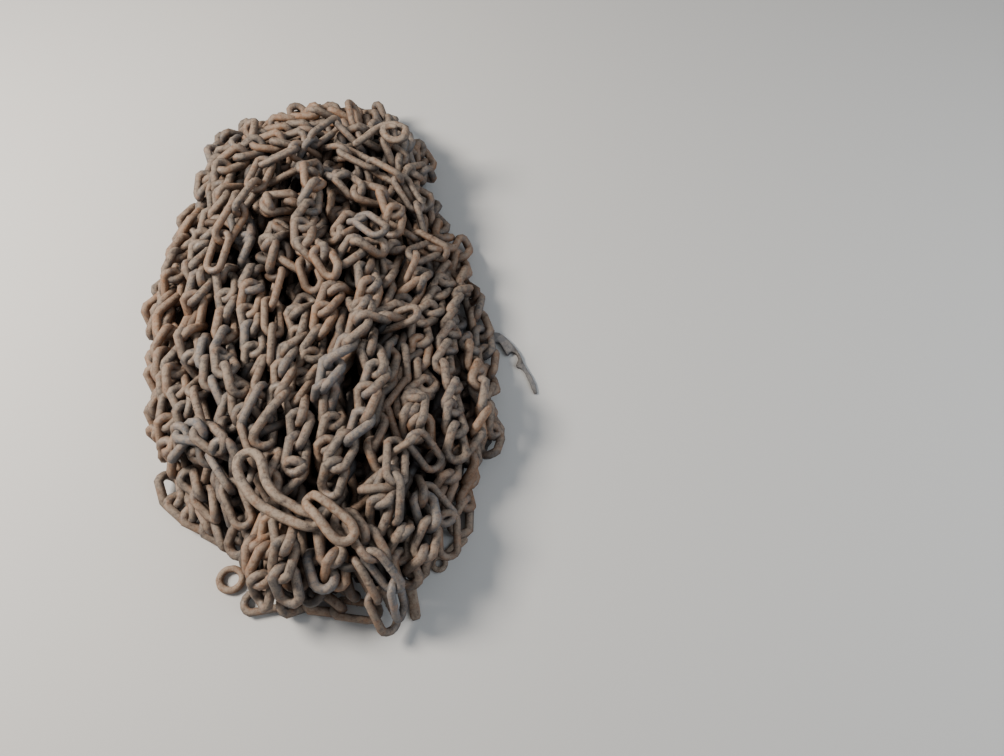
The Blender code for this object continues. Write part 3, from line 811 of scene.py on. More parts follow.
    def hold_bar(self, line: np.ndarray, wire: float) -> None:
        """Keeps a bar in its place while the links settle round it.

        Args:
            line: Points of its middle line.
            wire: Its thickness.
        """
        steps = np.linalg.norm(np.diff(line, axis=0), axis=1)
        at = np.concatenate([[0], np.cumsum(steps)])
        count = max(2, math.ceil(at[-1] / self.bar_step))
        balls = np.stack([np.interp(np.linspace(0, at[-1], count), at, line[:, k]) for k in range(3)], 1)
        self.bars.append((balls, wire / 2))

    def settle(self, rounds: int) -> None:
        """Lets the links sink, press each other apart and pull on their neighbours.

        Args:
            rounds: How many small steps are made.
        """
        links = Settling(self)
        for k in range(rounds):
            links.step(k, k / rounds)
        links.stand_on_floor(self.floor_gap)
        log.info(
            "settled %d links in %d rounds: pressed in by up to %.1f mm, joints up to %.1f mm wide, "
            "moved %.0f mm",
            len(self.places), rounds, 1000 * links.deepest, 1000 * links.widest, 1000 * links.moved(),
        )
        self.places, self.turns = list(links.place), list(links.turn)


@dataclass
class Settling:
    """The links while they settle, and how they give way to each other in a small step.

    Attributes:
        stack: The links as they were laid.
        swing: The radius of a link's mass about its middle.
        sinking: How far the links sink in a step.
        sinking_share: The share of all steps in which they sink.
        homing: The share of the way back to its plan place that a link goes in a step.
        turning_back: The same for its turn.
        most: The deepest press that one step undoes.
        haste: How much faster than its share a link gives way.
        sharing: The power of the number of a link's presses that its move is divided by.
        play: How far the bearings of two neighbours may part.
        pulls: How often neighbours pull on each other in a step.
        refresh: For how many steps the same links count as near each other.
        margin: How much further than touching near links are.
        bar_margin: The same for the balls of held bars.
    """

    stack: LinkStack
    swing: float = 0.022
    sinking: float = 0.00006
    sinking_share: float = 0.7
    homing: float = 0.02
    turning_back: float = 0.03
    most: float = 0.004
    haste: float = 1.5
    sharing: float = 0.75
    play: float = 0.0025
    pulls: int = 2
    refresh: int = 8
    margin: float = 0.006
    bar_margin: float = 0.02

    def __post_init__(self) -> None:
        """Takes the links' places, turns, shapes and held bars as arrays."""
        stack = self.stack
        self.place, self.turn = np.array(stack.places), np.array(stack.turns)
        self.home, self.home_turn = self.place.copy(), self.turn.copy()
        self.local = stack.lines(stack.beads)
        self.wire = np.array([size.wire / 2 for size in stack.sizes])
        self.half_pitch = np.array([size.pitch / 2 for size in stack.sizes])
        self.reach = np.array([size.pitch / 2 + size.wire for size in stack.sizes])
        runs = np.array(stack.runs)
        self.first = np.nonzero(runs[1:] == runs[:-1])[0]
        self.heavy = 1 / self.swing**2
        bars = stack.bars or [(np.zeros((0, 3)), 0.0)]
        self.balls = np.concatenate([balls for balls, _ in bars])
        self.ball_size = np.concatenate([np.full(len(balls), size) for balls, size in bars])
        self.deepest, self.widest = 0.0, 0.0

    def step(self, k: int, share: float) -> None:
        """Makes one small step.

        Args:
            k: The step's number.
            share: The share of all steps that is done.
        """
        if k % self.refresh == 0:
            self.find_near_links()
        if share < self.sinking_share:
            self.place[:, 2] -= self.sinking
        self.place[:, :2] += self.homing * (self.home[:, :2] - self.place[:, :2])
        back = self.turning_back * 0.5 * np.cross(self.turn, self.home_turn, axis=1).sum(2)
        self.turn = upright_again(self.turn + np.cross(back[:, :, None], self.turn, axis=1))
        if k % self.refresh == 0:
            self.find_near_balls()
        world = self.lines()
        self.give_way([self.link_pushes(world), self.floor_pushes(world), self.bar_pushes(world)])
        for _ in range(self.pulls):
            for start in (0, 1):
                self.pull(self.first[self.first % 2 == start])
        self.turn = upright_again(self.turn)

    def lines(self) -> np.ndarray:
        """Points of each link's middle line about its middle, as the link is turned."""
        return np.einsum("nab,nkb->nka", self.turn, self.local)

    def find_near_links(self) -> None:
        """Notes which links are near enough to touch, apart from neighbours in a run."""
        gap = np.linalg.norm(self.place[:, None] - self.place[None], axis=2)
        i, j = np.nonzero(np.triu(gap < self.reach[:, None] + self.reach[None] + self.margin, 1))
        keep = ~((j == i + 1) & np.isin(i, self.first))
        self.pairs = (i[keep], j[keep])

    def find_near_balls(self) -> None:
        """Notes which links are near enough to touch a ball of a held bar."""
        gap = np.linalg.norm(self.place[:, None] - self.balls[None], axis=2)
        self.near_balls = np.nonzero(gap < (self.reach + self.bar_margin)[:, None])

    def link_pushes(self, world: np.ndarray) -> Push:
        """How near links push each other apart.

        Args:
            world: Points of each link's middle line about its middle.

        Returns:
            The numbers of the pushed links, how far each moves and its turning.
        """
        i, j = self.pairs
        between = self.place[j] - self.place[i]
        a, b = world[i], world[j] + between[:, None]
        apart = (a * a).sum(2)[:, :, None] + (b * b).sum(2)[:, None]
        apart -= 2 * np.matmul(a, b.transpose(0, 2, 1))
        touch = self.wire[i] + self.wire[j]
        m, s, t = np.nonzero(apart < (touch**2)[:, None, None])
        near_a, near_b = a[m, s], b[m, t]
        out = near_a - near_b
        distance = np.linalg.norm(out, axis=1) + TINY
        out /= distance[:, None]
        depth = touch[m] - distance
        self.deepest = float(depth.max(initial=0))
        turn_a, turn_b = np.cross(near_a, out), np.cross(near_b - between[m], out)
        ease = 2 + self.heavy * ((turn_a**2).sum(1) + (turn_b**2).sum(1))
        push = (np.minimum(depth, self.most) / ease)[:, None]
        return (
            np.concatenate([i[m], j[m]]),
            np.concatenate([push * out, -push * out]),
            np.concatenate([push * turn_a, -push * turn_b]),
        )

    def floor_pushes(self, world: np.ndarray) -> Push:
        """How the floor lifts links that reach under it.

        Args:
            world: Points of each link's middle line about its middle.

        Returns:
            The numbers of the lifted links, how far each moves and its turning.
        """
        low = self.place[:, None, 2] + world[:, :, 2] - self.wire[:, None]
        f, g = np.nonzero(low < 0)
        up = np.tile([0.0, 0.0, 1.0], (len(f), 1))
        turning = np.cross(world[f, g], up)
        ease = 1 + self.heavy * (turning**2).sum(1)
        lift = (np.minimum(-low[f, g], self.most) / ease)[:, None]
        return f, lift * up, lift * turning

    def bar_pushes(self, world: np.ndarray) -> Push:
        """How held bars push links away.

        Args:
            world: Points of each link's middle line about its middle.

        Returns:
            The numbers of the pushed links, how far each moves and its turning.
        """
        h, ball = self.near_balls
        span = world[h] + (self.place[h] - self.balls[ball])[:, None]
        far = np.linalg.norm(span, axis=2) + TINY
        touch = self.wire[h] + self.ball_size[ball]
        c, d = np.nonzero(far < touch[:, None])
        away = span[c, d] / far[c, d][:, None]
        turning = np.cross(world[h[c], d], away)
        ease = 1 + self.heavy * (turning**2).sum(1)
        push = (np.minimum(touch[c] - far[c, d], self.most) / ease)[:, None]
        return h[c], push * away, push * turning

    def give_way(self, pushes: list[Push]) -> None:
        """Moves and turns the links as they are pushed.

        Args:
            pushes: What pushes them.
        """
        who, moves, turnings = (np.concatenate(part) for part in zip(*pushes))
        count = len(self.place)
        shared = np.maximum(np.bincount(who, minlength=count), 1)[:, None] ** self.sharing
        self.place += self.haste * sums_by(who, moves, count) / shared
        spin = self.haste * sums_by(who, turnings * self.heavy, count) / shared
        self.turn = upright_again(self.turn + np.cross(spin[:, :, None], self.turn, axis=1))

    def pull(self, one: np.ndarray) -> None:
        """Lets links pull their next neighbours back to where the two bear on each other.

        Args:
            one: The numbers of the links, none of them next to another.
        """
        two = one + 1
        arm_one = self.turn[one, :, 0] * self.half_pitch[one, None]
        arm_two = -self.turn[two, :, 0] * self.half_pitch[two, None]
        miss = self.place[two] + arm_two - self.place[one] - arm_one
        size = np.linalg.norm(miss, axis=1) + TINY
        self.widest = float(size.max(initial=0))
        way = miss / size[:, None]
        spin_one, spin_two = np.cross(arm_one, way), np.cross(arm_two, way)
        ease = 2 + self.heavy * ((spin_one**2).sum(1) + (spin_two**2).sum(1))
        pull = (np.maximum(size - self.play, 0.0) / ease)[:, None]
        self.place[one] += pull * way
        self.place[two] -= pull * way
        self.turn[one] += np.cross((pull * spin_one * self.heavy)[:, :, None], self.turn[one], axis=1)
        self.turn[two] -= np.cross((pull * spin_two * self.heavy)[:, :, None], self.turn[two], axis=1)

    def stand_on_floor(self, gap: float) -> None:
        """Lifts each link that reaches too low."""
        low = (self.place[:, None, 2] + self.lines()[:, :, 2] - self.wire[:, None]).min(axis=1)
        self.place[:, 2] -= np.minimum(low - gap, 0.0)

    def moved(self) -> float:
        """How far the links have moved on average, in metres."""
        return float(np.linalg.norm(self.place - self.home, axis=1).mean())


# node trees


Value = bpy.types.NodeSocket | float | int
Inputs = tuple[tuple[str, str, object], ...]
Outputs = tuple[tuple[str, str], ...]


@dataclass
class Sketch:
    """A node tree while it is drawn."""

    tree: bpy.types.NodeTree

    def add(self, kind: str, **settings: object) -> bpy.types.Node:
        """Adds a node.

        Args:
            kind: The kind of node.
            settings: Its own settings.

        Returns:
            The node.
        """
        node = self.tree.nodes.new(kind)
        for name, value in settings.items():
            setattr(node, name, value)
        return node

    def feed(self, node: bpy.types.Node, **values: Value | tuple) -> bpy.types.Node:
        """Feeds a node's inputs.

        Args:
            node: The node.
            values: A socket or a plain value for each input, named with its spaces as underscores.

        Returns:
            The node.
        """
        for name, value in values.items():
            self.put(node.inputs[name.replace("_", " ")], value)
        return node

    def place(self, kind: str, **values: Value | tuple) -> bpy.types.NodeSocket:
        """Adds a node, feeds its inputs and gives its first output."""
        return self.feed(self.add(kind), **values).outputs[0]

    def effect(self, group: bpy.types.NodeTree, **values: Value | tuple) -> bpy.types.Node:
        """Adds a shader group and feeds its inputs."""
        return self.feed(self.add("ShaderNodeGroup", node_tree=group), **values)

    def put(self, into: bpy.types.NodeSocket, value: Value | tuple) -> None:
        """Joins a socket to another, or sets its plain value.

        Args:
            into: The input.
            value: The other socket, or the value.
        """
        if isinstance(value, bpy.types.NodeSocket):
            self.tree.links.new(value, into)
        else:
            into.default_value = value

    def sum(self, operation: str, *values: Value, clamp: bool = False) -> bpy.types.NodeSocket:
        """A Math node.

        Args:
            operation: What it works out.
            values: What it works on.
            clamp: Whether its result stays from 0 to 1.

        Returns:
            Its result.
        """
        node = self.add("ShaderNodeMath", operation=operation, use_clamp=clamp)
        for socket, value in zip(node.inputs, values):
            self.put(socket, value)
        return node.outputs[0]

    def product(self, *values: Value) -> bpy.types.NodeSocket:
        """The product of two values."""
        return self.sum("MULTIPLY", *values)

    def less(self, share: Value, of: Value = 1.0) -> bpy.types.NodeSocket:
        """What is left of a value when a share is taken off."""
        return self.sum("SUBTRACT", of, share)

    def stretch(
        self, value: Value, low: float, high: float, to_low: float = 0.0, to_high: float = 1.0
    ) -> bpy.types.NodeSocket:
        """A value's range moved smoothly to another.

        Args:
            value: The value.
            low: The start of its range.
            high: The end of its range.
            to_low: What the start becomes.
            to_high: What the end becomes.

        Returns:
            The moved value.
        """
        node = self.add("ShaderNodeMapRange", interpolation_type="SMOOTHSTEP")
        self.feed(node, Value=value, From_Min=low, From_Max=high, To_Min=to_low, To_Max=to_high)
        return node.outputs["Result"]

    def blend(
        self, share: Value, one: Value | tuple, two: Value | tuple, kind: str = "MIX"
    ) -> bpy.types.NodeSocket:
        """A mix of two colours.

        Args:
            share: The share of the second.
            one: The first colour.
            two: The second colour.
            kind: The way of mixing.

        Returns:
            The mixed colour.
        """
        node = self.add("ShaderNodeMix", data_type="RGBA", blend_type=kind)
        for index, value in ((0, share), (6, one), (7, two)):
            self.put(node.inputs[index], value)
        return node.outputs[2]

    def noise(
        self, vector: Value, scale: Value, detail: float = 3.0, rough: float = 0.55
    ) -> bpy.types.NodeSocket:
        """A noise texture."""
        return self.place("ShaderNodeTexNoise", Vector=vector, Scale=scale, Detail=detail, Roughness=rough)


def new_group(
    name: str, kind: str, inputs: Inputs, outputs: Outputs
) -> tuple[Sketch, bpy.types.Node, bpy.types.Node]:
    """Starts a node group with named sockets.

    Args:
        name: The group's name.
        kind: The kind of node tree.
        inputs: Name, kind of socket and first value of each input.
        outputs: Name and kind of socket of each output.

    Returns:
        The sketch, the group's input node and its output node.
    """
    tree = bpy.data.node_groups.new(name, kind)
    for label, socket, value in inputs:
        made = tree.interface.new_socket(label, in_out="INPUT", socket_type=socket)
        if value is not None:
            made.default_value = value
    for label, socket in outputs:
        tree.interface.new_socket(label, in_out="OUTPUT", socket_type=socket)
    sketch = Sketch(tree)
    return sketch, sketch.add("NodeGroupInput"), sketch.add("NodeGroupOutput")


@dataclass
class LinkMaker:
    """The tree that puts a bent bar link on every point that it is given."""

    corners: int = 14
    sides: int = 7
    bulge: float = 1.035
    fullness: float = 0.515
    bearing: Spot = (0.70, 0.98)
    weld_length: float = 0.8

    def __post_init__(self) -> None:
        """Draws the tree."""
        size = "NodeSocketFloat"
        self.sketch, given, out = new_group(
            "Links on points",
            "GeometryNodeTree",
            (
                ("Points", "NodeSocketGeometry", None),
                ("Wire", size, 0.012),
                ("Short pitch", size, 0.043),
                ("Short width", size, 0.042),
                ("Twist", size, 0.7),
                ("Long wire", size, 0.012),
                ("Long pitch", size, 0.061),
                ("Long width", size, 0.042),
                ("Weld", size, 0.0074),
                ("Iron", "NodeSocketMaterial", None),
            ),
            (("Links", "NodeSocketGeometry"),),
        )
        draw, get = self.sketch, given.outputs
        short = self.bar_link(get["Wire"], get["Short pitch"], get["Short width"], get["Twist"])
        long = self.bar_link(get["Long wire"], get["Long pitch"], get["Long width"], 0.0)
        welded = draw.add("GeometryNodeJoinGeometry")
        draw.put(welded.inputs[0], long)
        draw.put(welded.inputs[0], self.weld_bead(get["Weld"], get["Long wire"], get["Long width"]))
        reader = "GeometryNodeInputNamedAttribute"
        turn, grow, is_long = (
            draw.feed(draw.add(reader, data_type=kind), Name=name).outputs["Attribute"]
            for name, kind in (("turn", "FLOAT_VECTOR"), ("grow", "FLOAT_VECTOR"), ("long", "BOOLEAN"))
        )
        is_short = draw.add("FunctionNodeBooleanMath", operation="NOT")
        draw.put(is_short.inputs[0], is_long)
        join = draw.add("GeometryNodeJoinGeometry")
        for link, chosen in ((short, is_short.outputs[0]), (welded.outputs[0], is_long)):
            put = draw.place(
                "GeometryNodeInstanceOnPoints",
                Points=get["Points"], Instance=link, Selection=chosen, Rotation=turn, Scale=grow,
            )
            draw.put(join.inputs[0], put)
        real = draw.place("GeometryNodeRealizeInstances", Geometry=join.outputs[0])
        smooth = draw.place("GeometryNodeSetShadeSmooth", Geometry=real)
        dressed = draw.place("GeometryNodeSetMaterial", Geometry=smooth, Material=get["Iron"])
        draw.put(out.inputs["Links"], dressed)

    def bar_link(self, wire: Value, pitch: Value, width: Value, twist: Value) -> bpy.types.NodeSocket:
        """Draws one link as a closed bar.

        Args:
            wire: The bar's thickness.
            pitch: The link's inner length.
            width: Its outer width.
            twist: How far each end is turned about its length.

        Returns:
            The link's mesh.
        """
        draw = self.sketch
        line = draw.place("GeometryNodeCurvePrimitiveCircle", Resolution=self.corners, Radius=1.0)
        index = draw.add("GeometryNodeInputIndex").outputs[0]
        angle = draw.product(draw.sum("ADD", index, 0.5), 2 * math.pi / self.corners)
        cosine, sine = draw.sum("COSINE", angle), draw.sum("SINE", angle)
        plain = draw.product(draw.less(wire, width), 0.5)
        bend = draw.product(plain, self.bulge)
        straight = draw.less(plain, draw.product(draw.sum("ADD", pitch, wire), 0.5))
        ends = draw.product(draw.sum("SIGN", cosine), straight)
        x = draw.sum("ADD", draw.product(cosine, bend), ends)
        far = draw.sum("DIVIDE", x, draw.sum("ADD", straight, plain))
        lean = draw.product(twist, far)
        side = draw.product(sine, bend)
        y, z = draw.product(side, draw.sum("COSINE", lean)), draw.product(side, draw.sum("SINE", lean))
        place = draw.place("ShaderNodeCombineXYZ", X=x, Y=y, Z=z)
        bent = draw.place("GeometryNodeSetPosition", Geometry=line, Position=place)
        marked = draw.add("GeometryNodeStoreNamedAttribute", data_type="FLOAT", domain="POINT")
        bearing = draw.stretch(draw.sum("ABSOLUTE", far), *self.bearing)
        draw.feed(marked, Geometry=bent, Name="bearing", Value=bearing)
        radius = draw.product(wire, self.fullness)
        section = draw.place("GeometryNodeCurvePrimitiveCircle", Resolution=self.sides, Radius=radius)
        return draw.place("GeometryNodeCurveToMesh", Curve=marked.outputs[0], Profile_Curve=section)

    def weld_bead(self, weld: Value, wire: Value, width: Value) -> bpy.types.NodeSocket:
        """Draws the bead of the weld on one side of a long link.

        Args:
            weld: The bead's radius.
            wire: The bar's thickness.
            width: The link's outer width.

        Returns:
            The bead's mesh.
        """
        draw = self.sketch
        ball = draw.place("GeometryNodeMeshIcoSphere", Radius=1.0, Subdivisions=1)
        place = draw.place("ShaderNodeCombineXYZ", Y=draw.product(draw.less(wire, width), 0.5))
        grow = draw.place("ShaderNodeCombineXYZ", X=draw.product(weld, self.weld_length), Y=weld, Z=weld)
        return draw.place("GeometryNodeTransform", Geometry=ball, Translation=place, Scale=grow)

    def make(
        self, name: str, points: LinkPoints, iron: bpy.types.Material, **sizes: float
    ) -> bpy.types.Object:
        """Makes one piece of links.

        Args:
            name: The piece's name.
            points: Where the links lie.
            iron: The piece's material.
            sizes: Inputs of the tree that differ from its own, with their spaces as underscores.

        Returns:
            The piece, with its place in its mesh.
        """
        base = bpy.data.objects.new(name + "_points", points.mesh(name))
        bpy.context.scene.collection.objects.link(base)
        rule = base.modifiers.new("links", "NODES")
        rule.node_group = self.sketch.tree
        named = {s.name: s.identifier for s in self.sketch.tree.interface.items_tree if s.in_out == "INPUT"}
        rule[named["Iron"]] = iron
        for label, value in sizes.items():
            rule[named[label.replace("_", " ")]] = value
        depsgraph = bpy.context.evaluated_depsgraph_get()
        done = bpy.data.meshes.new_from_object(
            base.evaluated_get(depsgraph), preserve_all_data_layers=True, depsgraph=depsgraph
        )
        bpy.data.objects.remove(base)
        done.name = name
        piece = bpy.data.objects.new(name, done)
        bpy.context.scene.collection.objects.link(piece)
        return piece


@dataclass
class LinkPoints:
    """Places, turns and tones of the links of one piece, with their painted shade, in the heap's frame."""

    places: np.ndarray
    turns: np.ndarray
    long: np.ndarray
    grow: np.ndarray
    tone: np.ndarray
    cover_shade_and_dust: np.ndarray

    def mesh(self, name: str) -> bpy.types.Mesh:
        """The points as a mesh that carries the links' values.

        Args:
            name: The piece's name.

        Returns:
            The mesh.
        """
        mesh = bpy.data.meshes.new(name + "_points")
        mesh.from_pydata([tuple(p) for p in self.places], [], [])
        eulers = np.array([Matrix(t.tolist()).to_euler("XYZ")[:] for t in self.turns])
        for label, kind, field_name, values in (
            ("turn", "FLOAT_VECTOR", "vector", eulers),
            ("grow", "FLOAT_VECTOR", "vector", self.grow),
            ("long", "BOOLEAN", "value", self.long),
            ("tone", "FLOAT", "value", self.tone),
            ("cover_shade_and_dust", "FLOAT", "value", self.cover_shade_and_dust),
        ):
            layer = mesh.attributes.new(label, kind, "POINT")
            layer.data.foreach_set(field_name, np.asarray(values).ravel())
        return mesh


# finishes


VECTOR, PLAIN, COLOUR = "NodeSocketVector", "NodeSocketFloat", "NodeSocketColor"
SPECKLE = (0.35, 0.33, 0.32, 1.0)


def pitted_group() -> bpy.types.NodeTree:
    """The rough skin of old iron.

    Returns:
        A group that gives its height and the mask of its pits.
    """
    draw, given, out = new_group(
        "Pitted skin", "ShaderNodeTree",
        (("Vector", VECTOR, None), ("Pit size", PLAIN, 0.0022), ("Scale size", PLAIN, 0.006)),
        (("Height", PLAIN), ("Pits", PLAIN)),
    )
    where, pit, scale = (given.outputs[k] for k in range(3))
    fine = draw.noise(where, draw.sum("DIVIDE", 1.0, pit), 4.0, 0.62)
    broad = draw.noise(where, draw.sum("DIVIDE", 1.0, scale), 3.0, 0.55)
    cells = draw.add("ShaderNodeTexVoronoi", feature="F1")
    draw.feed(cells, Vector=where, Scale=draw.sum("DIVIDE", 0.7, pit))
    hollows = draw.stretch(cells.outputs["Distance"], 0.42, 0.08)
    pits = draw.product(hollows, draw.stretch(broad, 0.42, 0.62))
    height = draw.sum("ADD", draw.product(fine, 0.45), draw.product(broad, 0.9))
    draw.put(out.inputs["Height"], draw.less(draw.product(pits, 0.5), height))
    draw.put(out.inputs["Pits"], pits)
    return draw.tree


def rust_group() -> bpy.types.NodeTree:
    """The tones of rusted iron: patches of brown and orange over dark scale.

    Returns:
        A group that gives the colour.
    """
    draw, given, out = new_group(
        "Rust tones", "ShaderNodeTree",
        (
            ("Vector", VECTOR, None), ("Tone", PLAIN, 0.5), ("Warmth", PLAIN, 0.5),
            ("Scale colour", COLOUR, None), ("Brown", COLOUR, None),
            ("Orange", COLOUR, None), ("Grey", COLOUR, None),
        ),
        (("Color", COLOUR),),
    )
    where, tone, warmth, scale, brown, orange, grey = (given.outputs[k] for k in range(7))
    patches = draw.noise(where, 55.0, 4.0, 0.6)
    grain = draw.noise(where, 420.0, 3.0, 0.6)
    wide = draw.noise(where, 9.0, 2.0, 0.5)
    mixed = draw.sum("ADD", draw.product(patches, 0.7), draw.product(tone, 0.3))
    body = draw.blend(draw.stretch(mixed, 0.34, 0.64), scale, brown)
    bare = draw.product(draw.stretch(tone, 0.50, 0.15), draw.stretch(wide, 0.36, 0.56))
    body = draw.blend(draw.product(bare, 0.8), body, grey)
    warm_links = draw.product(draw.stretch(tone, 0.50, 0.90), 0.75)
    warm_patches = draw.product(draw.stretch(patches, 0.46, 0.68), 0.6)
    warm = draw.sum("MULTIPLY", draw.sum("ADD", warm_links, warm_patches), warmth, clamp=True)
    body = draw.blend(warm, body, orange)
    speckled = draw.blend(1.0, body, SPECKLE, "MULTIPLY")
    draw.put(out.inputs["Color"], draw.blend(draw.stretch(grain, 0.35, 0.75, 0.0, 0.45), body, speckled))
    return draw.tree


def dust_group() -> bpy.types.NodeTree:
    """Dust that has settled on what faces up.

    Returns:
        A group that gives its mask.
    """
    draw, given, out = new_group(
        "Settled dust", "ShaderNodeTree",
        (("Vector", VECTOR, None), ("Amount", PLAIN, 0.7), ("Bury", PLAIN, 0.0)),
        (("Mask", PLAIN),),
    )
    where, amount, cover_shade_and_dust = (given.outputs[k] for k in range(3))
    facing = draw.add("ShaderNodeSeparateXYZ")
    draw.put(facing.inputs[0], draw.add("ShaderNodeNewGeometry").outputs["Normal"])
    upward = draw.stretch(facing.outputs["Z"], 0.05, 0.95)
    patches = draw.stretch(draw.noise(where, 130.0, 5.0, 0.65), 0.30, 0.62)
    mask = draw.product(draw.product(upward, patches), amount)
    open_air = draw.less(draw.product(cover_shade_and_dust, 0.75))
    draw.put(out.inputs["Mask"], draw.sum("MULTIPLY", mask, open_air, clamp=True))
    return draw.tree


def rubbed_group() -> bpy.types.NodeTree:
    """Bare iron where links bear on each other and where bars are rubbed.

    Returns:
        A group that gives its mask.
    """
    draw, given, out = new_group(
        "Rubbed iron", "ShaderNodeTree",
        (("Vector", VECTOR, None), ("Bearing", PLAIN, 0.0), ("Amount", PLAIN, 0.4)),
        (("Mask", PLAIN),),
    )
    where, bearing, amount = (given.outputs[k] for k in range(3))
    torn = draw.stretch(draw.noise(where, 95.0, 4.0, 0.6), 0.42, 0.66)
    mask = draw.sum("MULTIPLY", draw.product(torn, bearing), amount, clamp=True)
    draw.put(out.inputs["Mask"], mask)
    return draw.tree


@dataclass
class Effects:
    """The effects that the finishes share, each built once."""

    pitted: bpy.types.NodeTree = field(default_factory=pitted_group)
    rust: bpy.types.NodeTree = field(default_factory=rust_group)
    dust: bpy.types.NodeTree = field(default_factory=dust_group)
    rubbed: bpy.types.NodeTree = field(default_factory=rubbed_group)


@dataclass(frozen=True)
class IronFinish:
    """A finish of weathered iron."""

    name: str
    scale: Tint = (0.060, 0.047, 0.040)
    brown: Tint = (0.165, 0.112, 0.082)
    orange: Tint = (0.290, 0.132, 0.054)
    grey: Tint = (0.150, 0.155, 0.168)
    dust: Tint = (0.345, 0.268, 0.203)
    dustiness: float = 0.66
    warmth: float = 0.75
    wear: float = 0.60
    pit: float = 0.0022
    scale_size: float = 2.7
    pit_shade: float = 0.45
    buried_shade: float = 0.80
    roughness: float = 0.62
    rubbed_shine: float = 0.22
    dust_dullness: float = 0.24
    rubbed_metal: float = 0.7
    gloss: float = 0.50
    relief: float = 0.75
    depth: float = 0.0011

    def material(self, effects: Effects) -> bpy.types.Material:
        """Builds the material.

        Args:
            effects: The shared effects.

        Returns:
            The material.
        """
        material = bpy.data.materials.new(self.name)
        material.use_nodes = True
        draw = Sketch(material.node_tree)
        shader = material.node_tree.nodes["Principled BSDF"]
        where = draw.add("ShaderNodeTexCoord").outputs["Object"]
        tone, cover_shade_and_dust, bearing = (
            draw.add("ShaderNodeAttribute", attribute_name=name).outputs["Fac"]
            for name in ("tone", "cover_shade_and_dust", "bearing")
        )
        sizes = {"Pit_size": self.pit, "Scale_size": self.pit * self.scale_size}
        pitted = draw.effect(effects.pitted, Vector=where, **sizes)
        tints = {"Scale_colour": self.scale, "Brown": self.brown, "Orange": self.orange, "Grey": self.grey}
        tints = {name: (*tint, 1.0) for name, tint in tints.items()}
        rust = draw.effect(effects.rust, Vector=where, Tone=tone, Warmth=self.warmth, **tints)
        dust = draw.effect(effects.dust, Vector=where, Amount=self.dustiness, Bury=cover_shade_and_dust).outputs["Mask"]
        rubbed = draw.effect(effects.rubbed, Vector=where, Bearing=bearing, Amount=self.wear).outputs["Mask"]
        colour = draw.blend(rubbed, rust.outputs["Color"], (*self.grey, 1.0))
        colour = draw.blend(dust, colour, (*self.dust, 1.0))
        shade = draw.less(draw.product(pitted.outputs["Pits"], self.pit_shade))
        # Painted shade: the colour darkens by the share of each link that other links cover.
        shade = draw.product(shade, draw.less(draw.product(cover_shade_and_dust, self.buried_shade)))
        shades = draw.place("ShaderNodeCombineColor", Red=shade, Green=shade, Blue=shade)
        draw.put(shader.inputs["Base Color"], draw.blend(1.0, colour, shades, "MULTIPLY"))
        rough = draw.less(draw.product(rubbed, self.rubbed_shine), self.roughness)
        rough = draw.sum("ADD", rough, draw.product(dust, self.dust_dullness), clamp=True)
        draw.put(shader.inputs["Roughness"], rough)
        draw.put(shader.inputs["Metallic"], draw.product(rubbed, self.rubbed_metal))
        height = pitted.outputs["Height"]
        bump = draw.place("ShaderNodeBump", Strength=self.relief, Distance=self.depth, Height=height)
        draw.put(shader.inputs["Normal"], bump)
        shader.inputs["Specular IOR Level"].default_value = self.gloss
        return material


# the pieces


class PieceMark(str, Enum):
    """The slots for the pieces' finishes."""

    HIDDEN = "hidden_iron"
    RUSTY = "rusty_iron"
    WORN = "worn_iron"
    GREY = "grey_iron"


Finishes = dict[PieceMark, bpy.types.Material]


def hand_in(piece: bpy.types.Object, slot: PieceMark, *nodes: str) -> None:
    """Lets a piece ride on the heap and stand for its solids, which are hidden.

    Args:
        piece: The piece.
        slot: Not used.
        nodes: The solids that it stands for.
    """
    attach(piece, "root")
    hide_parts(*nodes)
    piece.data.calc_loop_triangles()
    log.info("%s: %d triangles", piece.name, len(piece.data.loop_triangles))


